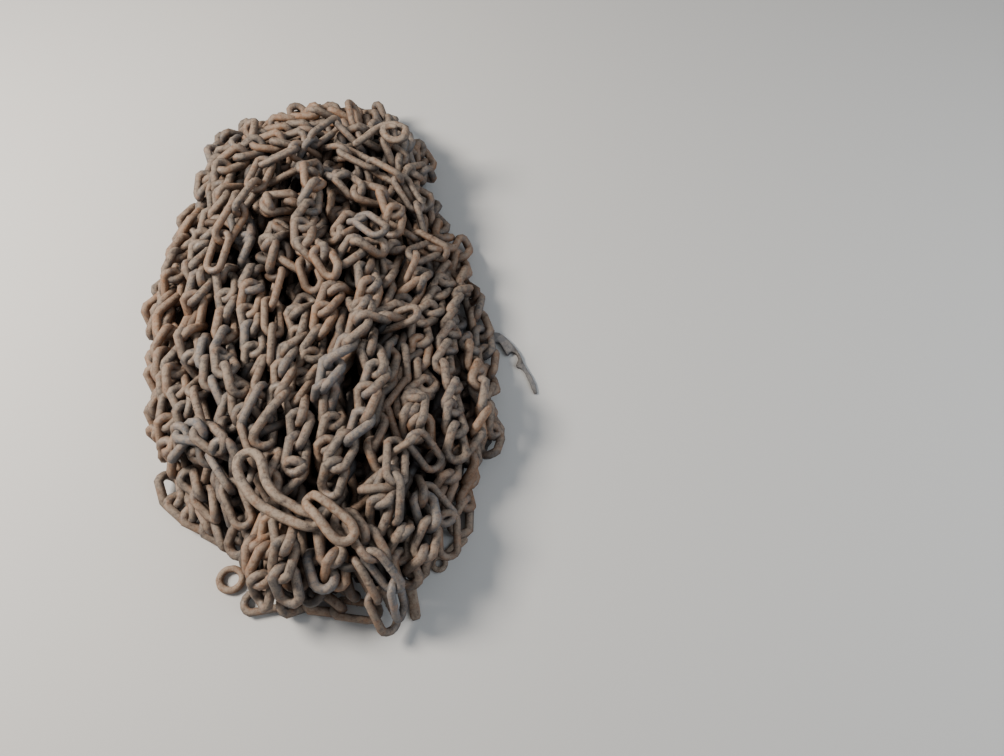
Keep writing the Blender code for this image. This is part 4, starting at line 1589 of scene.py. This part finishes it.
@dataclass
class ChainWork:
    """All plain chain of the heap: the runs that are seen and the chain under them.

    Attributes:
        mound: The mound that the runs lie on.
        view: The place that the runs are read from.
        rounds: How many steps the links take to settle, before and after crossed ones are taken out.
        crossing: How far hidden links may press into others.
        heavy: The heavy links that lie on the chain.
        spacing: How far apart inner runs lie.
        room: How far hidden links stay off the fasteners on the floor.
        lean: How much the direction that a link is seen from leans upwards.
        hide_reach: How near a link lies to hide another.
        hide_from: The least cosine of how far over it that link lies, and how much more hides it fully.
        crowd: How many such links it takes to begin to hide one, and how many more hide it fully.
        growth: How much links differ in size, as a share.
        run_tones: The least and the greatest tone of a run.
        tone_shares: The shares of a link's tone that are its run's and its own.
        seed: Starts the chance of the links' tones and sizes.
    """

    mound: Mound
    view: ViewPoint
    rounds: tuple[int, int] = (130, 130)
    crossing: float = 0.005
    heavy: HeavyLinks = field(default_factory=lambda: HeavyLinks())
    spacing: float = 0.043
    room: tuple[tuple[str, float], ...] = (("end_ring", 0.060), ("eye_bar", 0.044), ("bar_end", 0.034))
    lean: float = 0.6
    hide_reach: float = 0.070
    hide_from: Spot = (0.30, 0.4)
    crowd: Spot = (0.50, 0.9)
    growth: float = 0.018
    run_tones: Spot = (0.15, 0.85)
    tone_shares: Spot = (0.45, 0.55)
    seed: int = 11

    def lay(self, shift: Vector) -> LinkStack:
        """Lays every run, leaves room for the fasteners on the floor and lets the links settle.

        Args:
            shift: The heap's own shift.

        Returns:
            The settled links.
        """
        stack = LinkStack(self.mound, self.view)
        self.heavy.hold(self.view, stack)
        for run in SEEN_RUNS + UNSEEN_RUNS:
            stack.lay_run(run)
        for shell in INNER_SHELLS:
            stack.lay_shell(shell, self.spacing, "core", Chain.TWISTED)
        for node, reach in self.room:
            place = box_middle(node) - shift
            stack.keep_clear("core", place.x, place.y, reach)
        stack.settle(self.rounds[0])
        stack.drop_crossed("core", self.crossing)
        self.heavy = self.heavy.rested(self.view, stack)
        self.heavy.hold(self.view, stack)
        stack.settle(self.rounds[1])
        self.heavy = self.heavy.rested(self.view, stack)
        return stack

    def hidden_share(self, places: np.ndarray) -> np.ndarray:
        """How far links over it hide each link, from 0, in the open, to 1; the share paints shade on covered
        links and thins their dust.

        Args:
            places: The links' middles.

        Returns:
            One share for each link.
        """
        out = self.mound.normal(places[:, 0], places[:, 1]) + (0.0, 0.0, self.lean)
        out /= np.linalg.norm(out, axis=1, keepdims=True)
        span = places[None] - places[:, None]
        far = np.linalg.norm(span, axis=2) + TINY
        over = np.einsum("nmk,nk->nm", span, out) / far
        nearness = np.clip(1 - far / self.hide_reach, 0, 1)
        crowd = (nearness * np.clip((over - self.hide_from[0]) / self.hide_from[1], 0, 1)).sum(axis=1)
        return np.clip((crowd - self.crowd[0]) / self.crowd[1], 0, 1)

    def build(self, maker: LinkMaker, shift: Vector, finish: Finishes) -> LinkStack:
        """Makes one piece of links for each solid that the runs belong to.

        Args:
            maker: The tree that puts links on points.
            shift: The heap's own shift.
            finish: The materials of the slots.

        Returns:
            The settled links.
        """
        stack = self.lay(shift)
        places, turns = np.array(stack.places), np.array(stack.turns)
        long = np.array([size.twist == 0 for size in stack.sizes])
        chance = np.random.default_rng(self.seed)
        count = len(places)
        grow = 1 + chance.normal(0, self.growth, (count, 3))
        run_tone = chance.uniform(*self.run_tones, max(stack.runs) + 1)[np.array(stack.runs)]
        own = chance.uniform(0, 1, count)
        tone = np.clip(run_tone * self.tone_shares[0] + own * self.tone_shares[1], 0, 1)
        # Painted shade and dust cover: how far other links cover each link; it darkens the link's colour and
        # thins its dust.
        cover_shade_and_dust = self.hidden_share(places)
        nodes = np.array(stack.nodes)
        short, thin = Chain.TWISTED.value, Chain.LONG.value
        sizes = {
            "Wire": short.wire, "Short_pitch": short.pitch, "Short_width": short.width, "Twist": short.twist,
            "Long_wire": thin.wire, "Long_pitch": thin.pitch, "Long_width": thin.width, "Weld": thin.weld,
        }
        for node in sorted(set(stack.nodes)):
            mine = nodes == node
            slot = PieceMark.HIDDEN if node == "core" else PieceMark.RUSTY
            placed = places[mine] + np.array(shift)
            points = LinkPoints(placed, turns[mine], long[mine], grow[mine], tone[mine], cover_shade_and_dust[mine])
            hand_in(maker.make(f"{node}_links", points, finish[slot], **sizes), slot, node)
        return stack


def box_middle(node: str) -> Vector:
    """The middle of a solid's box."""
    low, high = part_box(node)
    return (low + high) / 2


def swept_mesh(
    name: str, line: np.ndarray, radius: np.ndarray | float, sides: int, closed: bool, flat: float = 1.0
) -> bpy.types.Mesh:
    """A round bar bent along a line.

    Args:
        name: The mesh's name.
        line: Points of the middle line.
        radius: The bar's radius, or one for each point.
        sides: Flat sides of the bar.
        closed: Whether the bar's end meets its start. An open bar gets domed ends.
        flat: Height of the bar's section as a share of its width, for flattened stock.

    Returns:
        The closed mesh.
    """
    line, radius = np.asarray(line, float), np.broadcast_to(radius, len(line)).astype(float)
    if not closed:
        domes, tip = np.array([0.0, 0.38, 0.71, 0.92]), 0.12
        start, end = line[0] - line[1], line[-1] - line[-2]
        start, end = start / np.linalg.norm(start), end / np.linalg.norm(end)
        head = [line[0] + start * radius[0] * (1 - d) for d in domes]
        tail = [line[-1] + end * radius[-1] * (1 - d) for d in domes[::-1]]
        swell = np.sqrt(1 - (1 - domes) ** 2)
        swell[0] = tip
        radius = np.concatenate([radius[0] * swell, radius, radius[-1] * swell[::-1]])
        line = np.concatenate([head, line, tail])
    ahead = np.roll(line, -1, 0) - np.roll(line, 1, 0)
    if not closed:
        ahead[0], ahead[-1] = line[1] - line[0], line[-1] - line[-2]
    ahead /= np.linalg.norm(ahead, axis=1, keepdims=True)
    upwards, slanting, steep = np.array([0.0, 0.0, 1.0]), [0.3, 0.9, 0.1], 0.15
    side = np.cross(upwards, ahead)
    weak = np.linalg.norm(side, axis=1) < steep
    side[weak] = np.cross(slanting, ahead[weak])
    side /= np.linalg.norm(side, axis=1, keepdims=True)
    over = np.cross(ahead, side)
    turn = np.arange(sides) / sides * 2 * math.pi
    ring = np.cos(turn)[None, :, None] * side[:, None] + flat * np.sin(turn)[None, :, None] * over[:, None]
    points = line[:, None] + radius[:, None, None] * ring
    count = len(line)
    faces = []
    for k in range(count if closed else count - 1):
        a, b = k * sides, (k + 1) % count * sides
        faces += [(a + n, a + (n + 1) % sides, b + (n + 1) % sides, b + n) for n in range(sides)]
    if not closed:
        faces += [tuple(range(sides))[::-1], tuple((count - 1) * sides + n for n in range(sides))]
    mesh = bpy.data.meshes.new(name)
    mesh.from_pydata(points.reshape(-1, 3).tolist(), [], faces)
    return mesh


# A forged strip's section: shares across its width and up its thickness
STRIP_SECTION = (
    (0.0, 0.22), (0.05, 0.0), (0.28, 0.0), (0.72, 0.0), (0.95, 0.0), (1.0, 0.22),
    (1.0, 0.75), (0.93, 0.97), (0.70, 1.06), (0.30, 1.06), (0.07, 0.97), (0.0, 0.75),
)


def strip_mesh(
    name: str, left: np.ndarray, right: np.ndarray, thickness: np.ndarray, base: np.ndarray
) -> bpy.types.Mesh:
    """A flat forged strip between two edges, with rounded corners.

    Args:
        name: The mesh's name.
        left: Plan points of one edge.
        right: Plan points of the other edge, as many.
        thickness: The strip's thickness at each pair.
        base: The height of its underside at each pair.

    Returns:
        The closed mesh.
    """
    count, sides = len(left), len(STRIP_SECTION)
    points = []
    for one, two, thick, low in zip(left, right, thickness, base):
        points += [(*(one + (two - one) * across), low + thick * rise) for across, rise in STRIP_SECTION]
    faces = []
    for k in range(count - 1):
        a, b = k * sides, (k + 1) * sides
        faces += [(a + n, b + n, b + (n + 1) % sides, a + (n + 1) % sides) for n in range(sides)]
    faces += [tuple(range(sides)), tuple((count - 1) * sides + n for n in range(sides))[::-1]]
    mesh = bpy.data.meshes.new(name)
    mesh.from_pydata([tuple(map(float, p)) for p in points], [], faces)
    return mesh


def smooth_line(points: np.ndarray, count: int, closed: bool = False) -> np.ndarray:
    """Points a step apart on a smooth curve through others.

    Args:
        points: The points that the curve passes.
        count: How many points are wanted.
        closed: Whether the curve's end meets its start.

    Returns:
        The points.
    """
    points = np.asarray(points, float)
    if closed:
        points = np.concatenate([points[-3:], points, points[:4]])
    at = np.concatenate([[0], np.cumsum(np.linalg.norm(np.diff(points, axis=0), axis=1))])
    start, end = (at[3], at[-4]) if closed else (at[0], at[-1])
    steps = np.linspace(start, end, count, endpoint=not closed)
    return np.stack([curve_through(at, points[:, k], steps) for k in range(points.shape[1])], 1)


# The skin's waves along each axis: radians to a metre, and where they start
SKIN_WAVES = ((410.0, 0.0), (370.0, 1.3), (520.0, 0.7))
LIGHT_WEAR = 0.15


def iron_piece(
    meshes: list[bpy.types.Mesh], name: str, iron: bpy.types.Material, tone: float, lumps: float = 0.0004
) -> bpy.types.Object:
    """Joins meshes to one piece of iron, with the outside out and its skin a little uneven.

    Args:
        meshes: Closed meshes in the heap's frame.
        name: The piece's name.
        iron: Its material.
        tone: The tone of its rust, from 0, grey, to 1, warm.
        lumps: How uneven its skin is.

    Returns:
        The piece.
    """
    work = bmesh.new()
    for mesh in meshes:
        work.from_mesh(mesh)
        bpy.data.meshes.remove(mesh)
    bmesh.ops.recalc_face_normals(work, faces=work.faces)
    work.normal_update()
    for vert in work.verts:
        wave = math.prod(math.sin(at * turns + start) for at, (turns, start) in zip(vert.co, SKIN_WAVES))
        vert.co += vert.normal * lumps * wave
    made = bpy.data.meshes.new(name)
    work.to_mesh(made)
    work.free()
    made.polygons.foreach_set("use_smooth", [True] * len(made.polygons))
    # Special pieces get no painted shade from covering links, and a little rubbed wear.
    for label, value in (("tone", tone), ("cover_shade_and_dust", 0.0), ("bearing", LIGHT_WEAR)):
        layer = made.attributes.new(label, "FLOAT", "POINT")
        layer.data.foreach_set("value", [value] * len(made.vertices))
    made.materials.append(iron)
    piece = bpy.data.objects.new(name, made)
    bpy.context.scene.collection.objects.link(piece)
    return piece


@dataclass(frozen=True)
class HeavyLinks:
    """The big bent connecting link and the thick link that joins it."""

    wire: float = 0.0155
    joining_wire: float = 0.0145
    corners: int = 56
    sides: int = 12
    heights: tuple[float, float, float] = (0.163, 0.158, 0.153)
    inner_drop: float = 0.004
    joining_drop: float = 0.0
    joining_tilt: float = 0.0
    carried: float = 0.27
    near_part: float = 0.4
    outline: tuple[Spot, ...] = (
        (250, 452), (241, 456), (237, 465), (239, 476), (245, 487), (252, 497), (262, 506),
        (276, 514), (291, 521), (305, 526), (316, 526), (320, 520), (314, 515), (302, 511),
        (290, 504), (278, 497), (270, 488), (265, 478), (263, 468), (259, 457),
    )
    joining_line_spots: tuple[tuple[float, float, float], ...] = (
        (352, 525, 0.158), (346, 518, 0.160), (336, 510, 0.162), (325, 501, 0.165), (317, 496, 0.163),
        (312, 496, 0.152), (307, 501, 0.150), (308, 507, 0.162), (314, 513, 0.168), (322, 523, 0.168),
        (331, 535, 0.165), (339, 541, 0.160), (348, 541, 0.157), (354, 534, 0.156),
    )

    def connecting_line(self, view: ViewPoint) -> np.ndarray:
        """The middle line of the connecting link, on the heap's plan.

        Args:
            view: The place that it is read from.

        Returns:
            Its points.
        """
        far_corner, rows, bend_row = (236, 452), 74, 470
        points = []
        for u, v in self.outline:
            inner = u - far_corner[0] > v - far_corner[1] and v > bend_row
            height = float(np.interp((v - far_corner[1]) / rows, (0.0, 0.5, 1.0), self.heights))
            height -= self.inner_drop if inner else 0.0
            points.append((*view.level_place((u, v), height), height))
        return smooth_line(np.array(points), self.corners, closed=True)

    def joining_line(self, view: ViewPoint) -> np.ndarray:
        """The middle line of the joining link: its far round end stands, its near one lies.

        Args:
            view: The place that it is read from.

        Returns:
            Its points.
        """
        far_row, rows = 496, 45
        line = []
        for u, v, z in self.joining_line_spots:
            height = z - self.joining_drop - self.joining_tilt * (v - far_row) / rows
            line.append((*view.level_place((u, v), height), height))
        return smooth_line(np.array(line), self.corners, closed=True)

    def hold(self, view: ViewPoint, stack: LinkStack) -> None:
        """Keeps both links in their places while the chain settles round them.

        Args:
            view: The place that they are read from.
            stack: The chain.
        """
        stack.bars.clear()
        connecting, joining = self.connecting_line(view), self.joining_line(view)
        for line, wire in ((connecting, self.wire), (joining, self.joining_wire)):
            stack.hold_bar(np.concatenate([line, line[:1]]), wire)

    def rested(self, view: ViewPoint, stack: LinkStack, rounds: int = 4) -> HeavyLinks:
        """The same links, lowered until they bear on the chain under them.

        Args:
            view: The place that they are read from.
            stack: The chain that carries them.
            rounds: How often each is lowered a little further.

        Returns:
            The lowered links.
        """
        links = self
        for _ in range(rounds):
            line = links.connecting_line(view)
            fall = stack.fall_under(line, links.wire)
            far = np.linalg.norm(line[:, :2] - line[0, :2], axis=1)
            share = far / far.max()
            drops = [float(fall[np.abs(share - at) < self.carried].min()) for at in (0.0, 0.5, 1.0)]
            heights = tuple(z - drop for z, drop in zip(links.heights, drops))
            links = replace(links, heights=heights, joining_drop=links.joining_drop + drops[2])
            line = links.joining_line(view)
            fall = stack.fall_under(line, links.joining_wire)
            far = np.linalg.norm(line[:, :2] - line[0, :2], axis=1)
            drop = float(fall[far < self.near_part * far.max()].min())
            links = replace(links, joining_tilt=links.joining_tilt + drop)
        log.info(
            "heavy links rest at %s, the joining link %.1f mm lower and its near end %.1f mm more",
            np.round(links.heights, 4), 1000 * links.joining_drop, 1000 * links.joining_tilt,
        )
        return links

    def build(self, view: ViewPoint, shift: Vector, iron: bpy.types.Material) -> None:
        """Makes the two heavy links.

        Args:
            view: The place that they are read from.
            shift: The heap's own shift.
            iron: Their material.
        """
        for name, line, wire, tone in (
            ("connecting_link", self.connecting_line(view), self.wire, 0.55),
            ("joining_link", self.joining_line(view), self.joining_wire, 0.72),
        ):
            mesh = swept_mesh(name, line + np.array(shift), wire / 2, self.sides, True)
            hand_in(iron_piece([mesh], name, iron, tone), PieceMark.WORN, "heavy_links")


@dataclass(frozen=True)
class EndRing:
    """The plain ring that ends a chain at the near left."""

    diameter: float = 0.047
    wire: float = 0.0115
    corners: int = 36
    sides: int = 12
    floor_gap: float = 0.0003
    out_of_round: float = 0.03
    worn: float = 0.06
    tone: float = 0.8

    def build(self, iron: bpy.types.Material) -> None:
        """Makes the ring in its solid's place.

        Args:
            iron: Its material.
        """
        middle = box_middle("end_ring")
        turn = np.arange(self.corners) / self.corners * 2 * math.pi
        out = (self.diameter - self.wire) / 2 * (1 + self.out_of_round * np.cos(2 * turn + 0.6))
        level = np.full(len(turn), self.wire / 2 + self.floor_gap)
        line = np.stack([middle.x + out * np.cos(turn), middle.y + out * np.sin(turn), level], 1)
        radius = self.wire / 2 * (1 - self.worn * np.cos(turn - 0.8))
        mesh = swept_mesh("ring", line, radius, self.sides, True)
        hand_in(iron_piece([mesh], "ring_at_chain_end", iron, self.tone), PieceMark.WORN, "end_ring")


@dataclass(frozen=True)
class LeverFastener:
    """The flat forged lever at the right foot: a strap, a toothed body and a thin tail."""

    thickness: float = 0.0088
    stations: int = 44
    level: float = 0.008
    base: Spot = (0.0004, 0.010)
    tone: float = 0.15
    upper: tuple[Spot, ...] = (
        (459, 317), (466, 321), (474, 328), (484, 330), (494, 331), (500, 335), (506, 341),
        (511, 347), (515, 353), (518, 360), (522, 367), (526, 373), (530, 381), (532, 390),
    )
    lower: tuple[Spot, ...] = (
        (457, 322), (462, 328), (468, 335), (476, 341), (486, 340), (494, 341), (498, 347), (503, 353),
        (505, 350), (510, 351), (513, 356), (511, 364), (516, 366), (521, 373), (525, 382), (529, 391),
    )

    def build(self, view: ViewPoint, iron: bpy.types.Material) -> None:
        """Makes the lever in its solid's place.

        Args:
            view: The place that its edges are read from.
            iron: Its material.
        """
        upper, lower = (
            smooth_line(np.array([view.level_place(spot, self.level) for spot in edge]), self.stations)
            for edge in (self.upper, self.lower)
        )
        both = np.concatenate([upper, lower])
        middle = box_middle("lever_fastener")
        move = np.array([middle.x, middle.y]) - (both.min(axis=0) + both.max(axis=0)) / 2
        share = np.linspace(0, 1, self.stations)
        body = 0.35 * np.exp(-(((share - 0.42) / 0.22) ** 2))
        thick = self.thickness * (0.80 + body - 0.35 * share**3)
        base = self.base[0] + self.base[1] * np.clip(1 - share / 0.22, 0, 1) ** 2
        mesh = strip_mesh("lever", upper + move, lower + move, thick, base)
        hand_in(iron_piece([mesh], "lever_fastener_plate", iron, self.tone), PieceMark.GREY, "lever_fastener")


@dataclass(frozen=True)
class FlatFasteners:
    """The flat bar with an eye and the flat bar end at the near side."""

    eye_diameter: float = 0.030
    eye_wire: float = 0.0095
    eye_flat: float = 0.74
    eye_level: float = 0.0039
    corners: int = 28
    sides: int = 12
    bar_width: float = 0.0150
    thickness: float = 0.0066
    end_width: float = 0.0160
    end_thinner: float = 0.0008
    end_slant: float = 0.001
    stations: int = 14
    base: float = 0.0004
    tones: Spot = (0.6, 0.65)

    def bar(self, start: np.ndarray, end: np.ndarray, width: float, thickness: float) -> bpy.types.Mesh:
        """A flat bar, a little wavy along its edges.

        Args:
            start: The plan place of its one end.
            end: The plan place of its other end.
            width: Its width.
            thickness: Its thickness.

        Returns:
            The bar's mesh.
        """
        share = np.linspace(0, 1, self.stations)[:, None]
        way = (end - start) / np.linalg.norm(end - start)
        aside = np.array([-way[1], way[0]])
        line = start + (end - start) * share + aside * 0.0012 * np.sin(share * 5.0)
        rounding = np.clip(np.minimum(share, 1 - share) / 0.04 + 0.72, 0, 1)
        half = width / 2 * (1 + 0.07 * np.sin(share * 9 + 1.0)) * rounding
        thick, base = np.full(self.stations, thickness), np.full(self.stations, self.base)
        return strip_mesh("bar", line + aside * half, line - aside * half, thick, base)

    def build(self, iron: bpy.types.Material) -> None:
        """Makes both in their solids' places.

        Args:
            iron: Their material.
        """
        low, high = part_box("eye_bar")
        out, inset = self.eye_diameter / 2, self.bar_width * 0.36
        eye, tip = np.array([low.x + out, low.y + out]), np.array([high.x - inset, high.y - inset])
        turn = np.arange(self.corners) / self.corners * 2 * math.pi
        wide = (self.eye_diameter - self.eye_wire) / 2
        level = np.full(self.corners, self.eye_level)
        line = np.stack([eye[0] + wide * np.cos(turn), eye[1] + wide * np.sin(turn), level], 1)
        way = (tip - eye) / np.linalg.norm(tip - eye)
        ring = swept_mesh("eye", line, self.eye_wire / 2, self.sides, True, flat=self.eye_flat)
        bar = self.bar(eye + way * wide, tip, self.bar_width, self.thickness)
        hand_in(iron_piece([ring, bar], "flat_eye_bar", iron, self.tones[0]), PieceMark.WORN, "eye_bar")
        low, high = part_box("bar_end")
        middle = (low.x + high.x) / 2
        start, end = np.array([middle - self.end_slant, high.y]), np.array([middle + self.end_slant, low.y])
        bar = self.bar(start, end, self.end_width, self.thickness - self.end_thinner)
        hand_in(iron_piece([bar], "flat_bar_end", iron, self.tones[1]), PieceMark.WORN, "bar_end")


@dataclass(frozen=True)
class CurledHook:
    """The curled hook that ends a chain at the far right: a shank and a bar curled round itself."""

    wire: float = 0.0140
    reach: float = 0.022
    points: int = 44
    sides: int = 12
    flat: float = 0.9
    borne_percent: float = 85
    tip_rise: float = 0.010
    tone: float = 0.5
    spots: tuple[Spot, ...] = (
        (356, 158), (366, 151), (376, 144), (386, 140), (397, 141), (404, 146),
        (403, 153), (394, 156), (385, 152), (383, 147), (389, 145), (395, 147),
    )

    def build(self, view: ViewPoint, stack: LinkStack, shift: Vector, iron: bpy.types.Material) -> None:
        """Makes the hook in its solid's place, over the links that carry it.

        Args:
            view: The place that its shape is read from.
            stack: The settled links.
            shift: The heap's own shift.
            iron: Its material.
        """
        middle, high = box_middle("end_hook"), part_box("end_hook")[1]
        line = smooth_line(np.array([view.level_place(spot, middle.z) for spot in self.spots]), self.points)
        curl = line[len(line) // 3 :]
        move = np.array([high.x, high.y]) - self.reach - (curl.min(axis=0) + curl.max(axis=0)) / 2
        share = np.linspace(0, 1, len(line))
        tops = [stack.top_near(*(spot + move - np.array(shift)[:2]), self.wire * 0.8) for spot in line]
        level = np.polynomial.Polynomial.fit(share, tops, 1)(share)
        level += max(0.0, float(np.percentile(np.array(tops) - level, self.borne_percent)))
        rise = level + self.wire / 2 + self.tip_rise * np.clip((share - 0.80) / 0.2, 0, 1)
        bend, tip = 0.18 * np.exp(-(((share - 0.55) / 0.2) ** 2)), 0.25 * np.clip((share - 0.9) / 0.1, 0, 1)
        radius = self.wire / 2 * (1.0 + bend - tip)
        bar = np.column_stack([line + move, rise])
        mesh = swept_mesh("hook", bar, radius, self.sides, False, flat=self.flat)
        hand_in(iron_piece([mesh], "curled_end_hook", iron, self.tone), PieceMark.WORN, "end_hook")


@dataclass(frozen=True)
class Lamp:
    """A soft square light."""

    name: str
    place: tuple[float, float, float]
    size: float
    power: float
    tint: Tint

    def build(self, target: Vector, middle: Vector) -> None:
        """Makes the light, turned to a place.

        Args:
            target: The place that it shines at.
            middle: The heap's middle.
        """
        lamp = bpy.data.lights.new(self.name, "AREA")
        lamp.size, lamp.energy, lamp.color = self.size, self.power, self.tint
        light = bpy.data.objects.new(self.name, lamp)
        light.location = Vector(self.place) + middle
        light.rotation_mode = "QUATERNION"
        light.rotation_quaternion = (target + middle - light.location).to_track_quat("-Z", "Y")
        bpy.context.scene.collection.objects.link(light)


@dataclass(frozen=True)
class Studio:
    """A plain pale floor under soft light."""

    floor_half: float = 6.0
    floor_tint: Tint = (0.62, 0.61, 0.59)
    floor_roughness: float = 0.9
    lamps: tuple[Lamp, ...] = (
        Lamp("key", (-1.4, 0.5, 1.65), 0.7, 86.0, (1.0, 0.93, 0.84)),
        Lamp("fill", (1.8, -0.8, 1.3), 1.8, 22.0, (0.82, 0.91, 1.0)),
    )
    target: tuple[float, float, float] = (0, 0, 0.05)
    sky_tint: Tint = (0.92, 0.95, 1.0)
    sky: float = 0.27

    def build(self, middle: Vector) -> None:
        """Makes the floor, the lights and the sky.

        Args:
            middle: The heap's middle.
        """
        mesh = bpy.data.meshes.new("floor")
        r = self.floor_half
        mesh.from_pydata([(-r, -r, 0), (r, -r, 0), (r, r, 0), (-r, r, 0)], [], [(0, 1, 2, 3)])
        floor = bpy.data.objects.new("floor", mesh)
        bpy.context.scene.collection.objects.link(floor)
        material = bpy.data.materials.new("pale_floor")
        material.use_nodes = True
        shader = material.node_tree.nodes["Principled BSDF"]
        shader.inputs["Base Color"].default_value = (*self.floor_tint, 1.0)
        shader.inputs["Roughness"].default_value = self.floor_roughness
        mesh.materials.append(material)
        for lamp in self.lamps:
            lamp.build(Vector(self.target), middle)
        world = bpy.data.worlds.new("soft_sky")
        world.use_nodes = True
        sky = world.node_tree.nodes["Background"]
        sky.inputs["Color"].default_value = (*self.sky_tint, 1.0)
        sky.inputs["Strength"].default_value = self.sky
        bpy.context.scene.world = world


def heap_finishes() -> Finishes:
    """The materials of the slots.

    Returns:
        One material for each slot.
    """
    effects = Effects()
    # A darker copy of the rust finish for the hidden core links: less dust under cover, and less orange,
    # which paints them in shade.
    shaded = IronFinish("shaded_rust", dustiness=0.45, warmth=0.35)
    rusty = IronFinish("brown_rust_and_dust")
    worn = IronFinish("paler_rust_and_dust", brown=(0.19, 0.13, 0.092), dustiness=0.9)
    grey = IronFinish(
        "dusty_grey_iron", brown=(0.135, 0.115, 0.100), dust=(0.290, 0.262, 0.235),
        dustiness=0.55, warmth=0.15,
    )
    return {
        PieceMark.HIDDEN: shaded.material(effects),
        PieceMark.RUSTY: rusty.material(effects),
        PieceMark.WORN: worn.material(effects),
        PieceMark.GREY: grey.material(effects),
    }


def heap_shift(aside: float = 0.0028) -> Vector:
    """How far the heap's own plan is shifted in the frame."""
    low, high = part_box("core")
    return Vector(((low.x + high.x) / 2 + aside, (low.y + high.y) / 2, 0.0))


def main() -> None:
    """Builds the heap's looks over the frame."""
    logging.basicConfig(level=logging.INFO, format="%(message)s")
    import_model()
    shift, mound, view = heap_shift(), Mound(), ViewPoint()
    bpy.context.scene.camera = view.camera(shift)
    finish = heap_finishes()
    chain_work = ChainWork(mound, view)
    stack = chain_work.build(LinkMaker(), shift, finish)
    chain_work.heavy.build(view, shift, finish[PieceMark.WORN])
    EndRing().build(finish[PieceMark.WORN])
    LeverFastener().build(view, finish[PieceMark.GREY])
    FlatFasteners().build(finish[PieceMark.WORN])
    CurledHook().build(view, stack, shift, finish[PieceMark.WORN])
    Studio().build(shift)


if __name__ == "__main__":
    main()
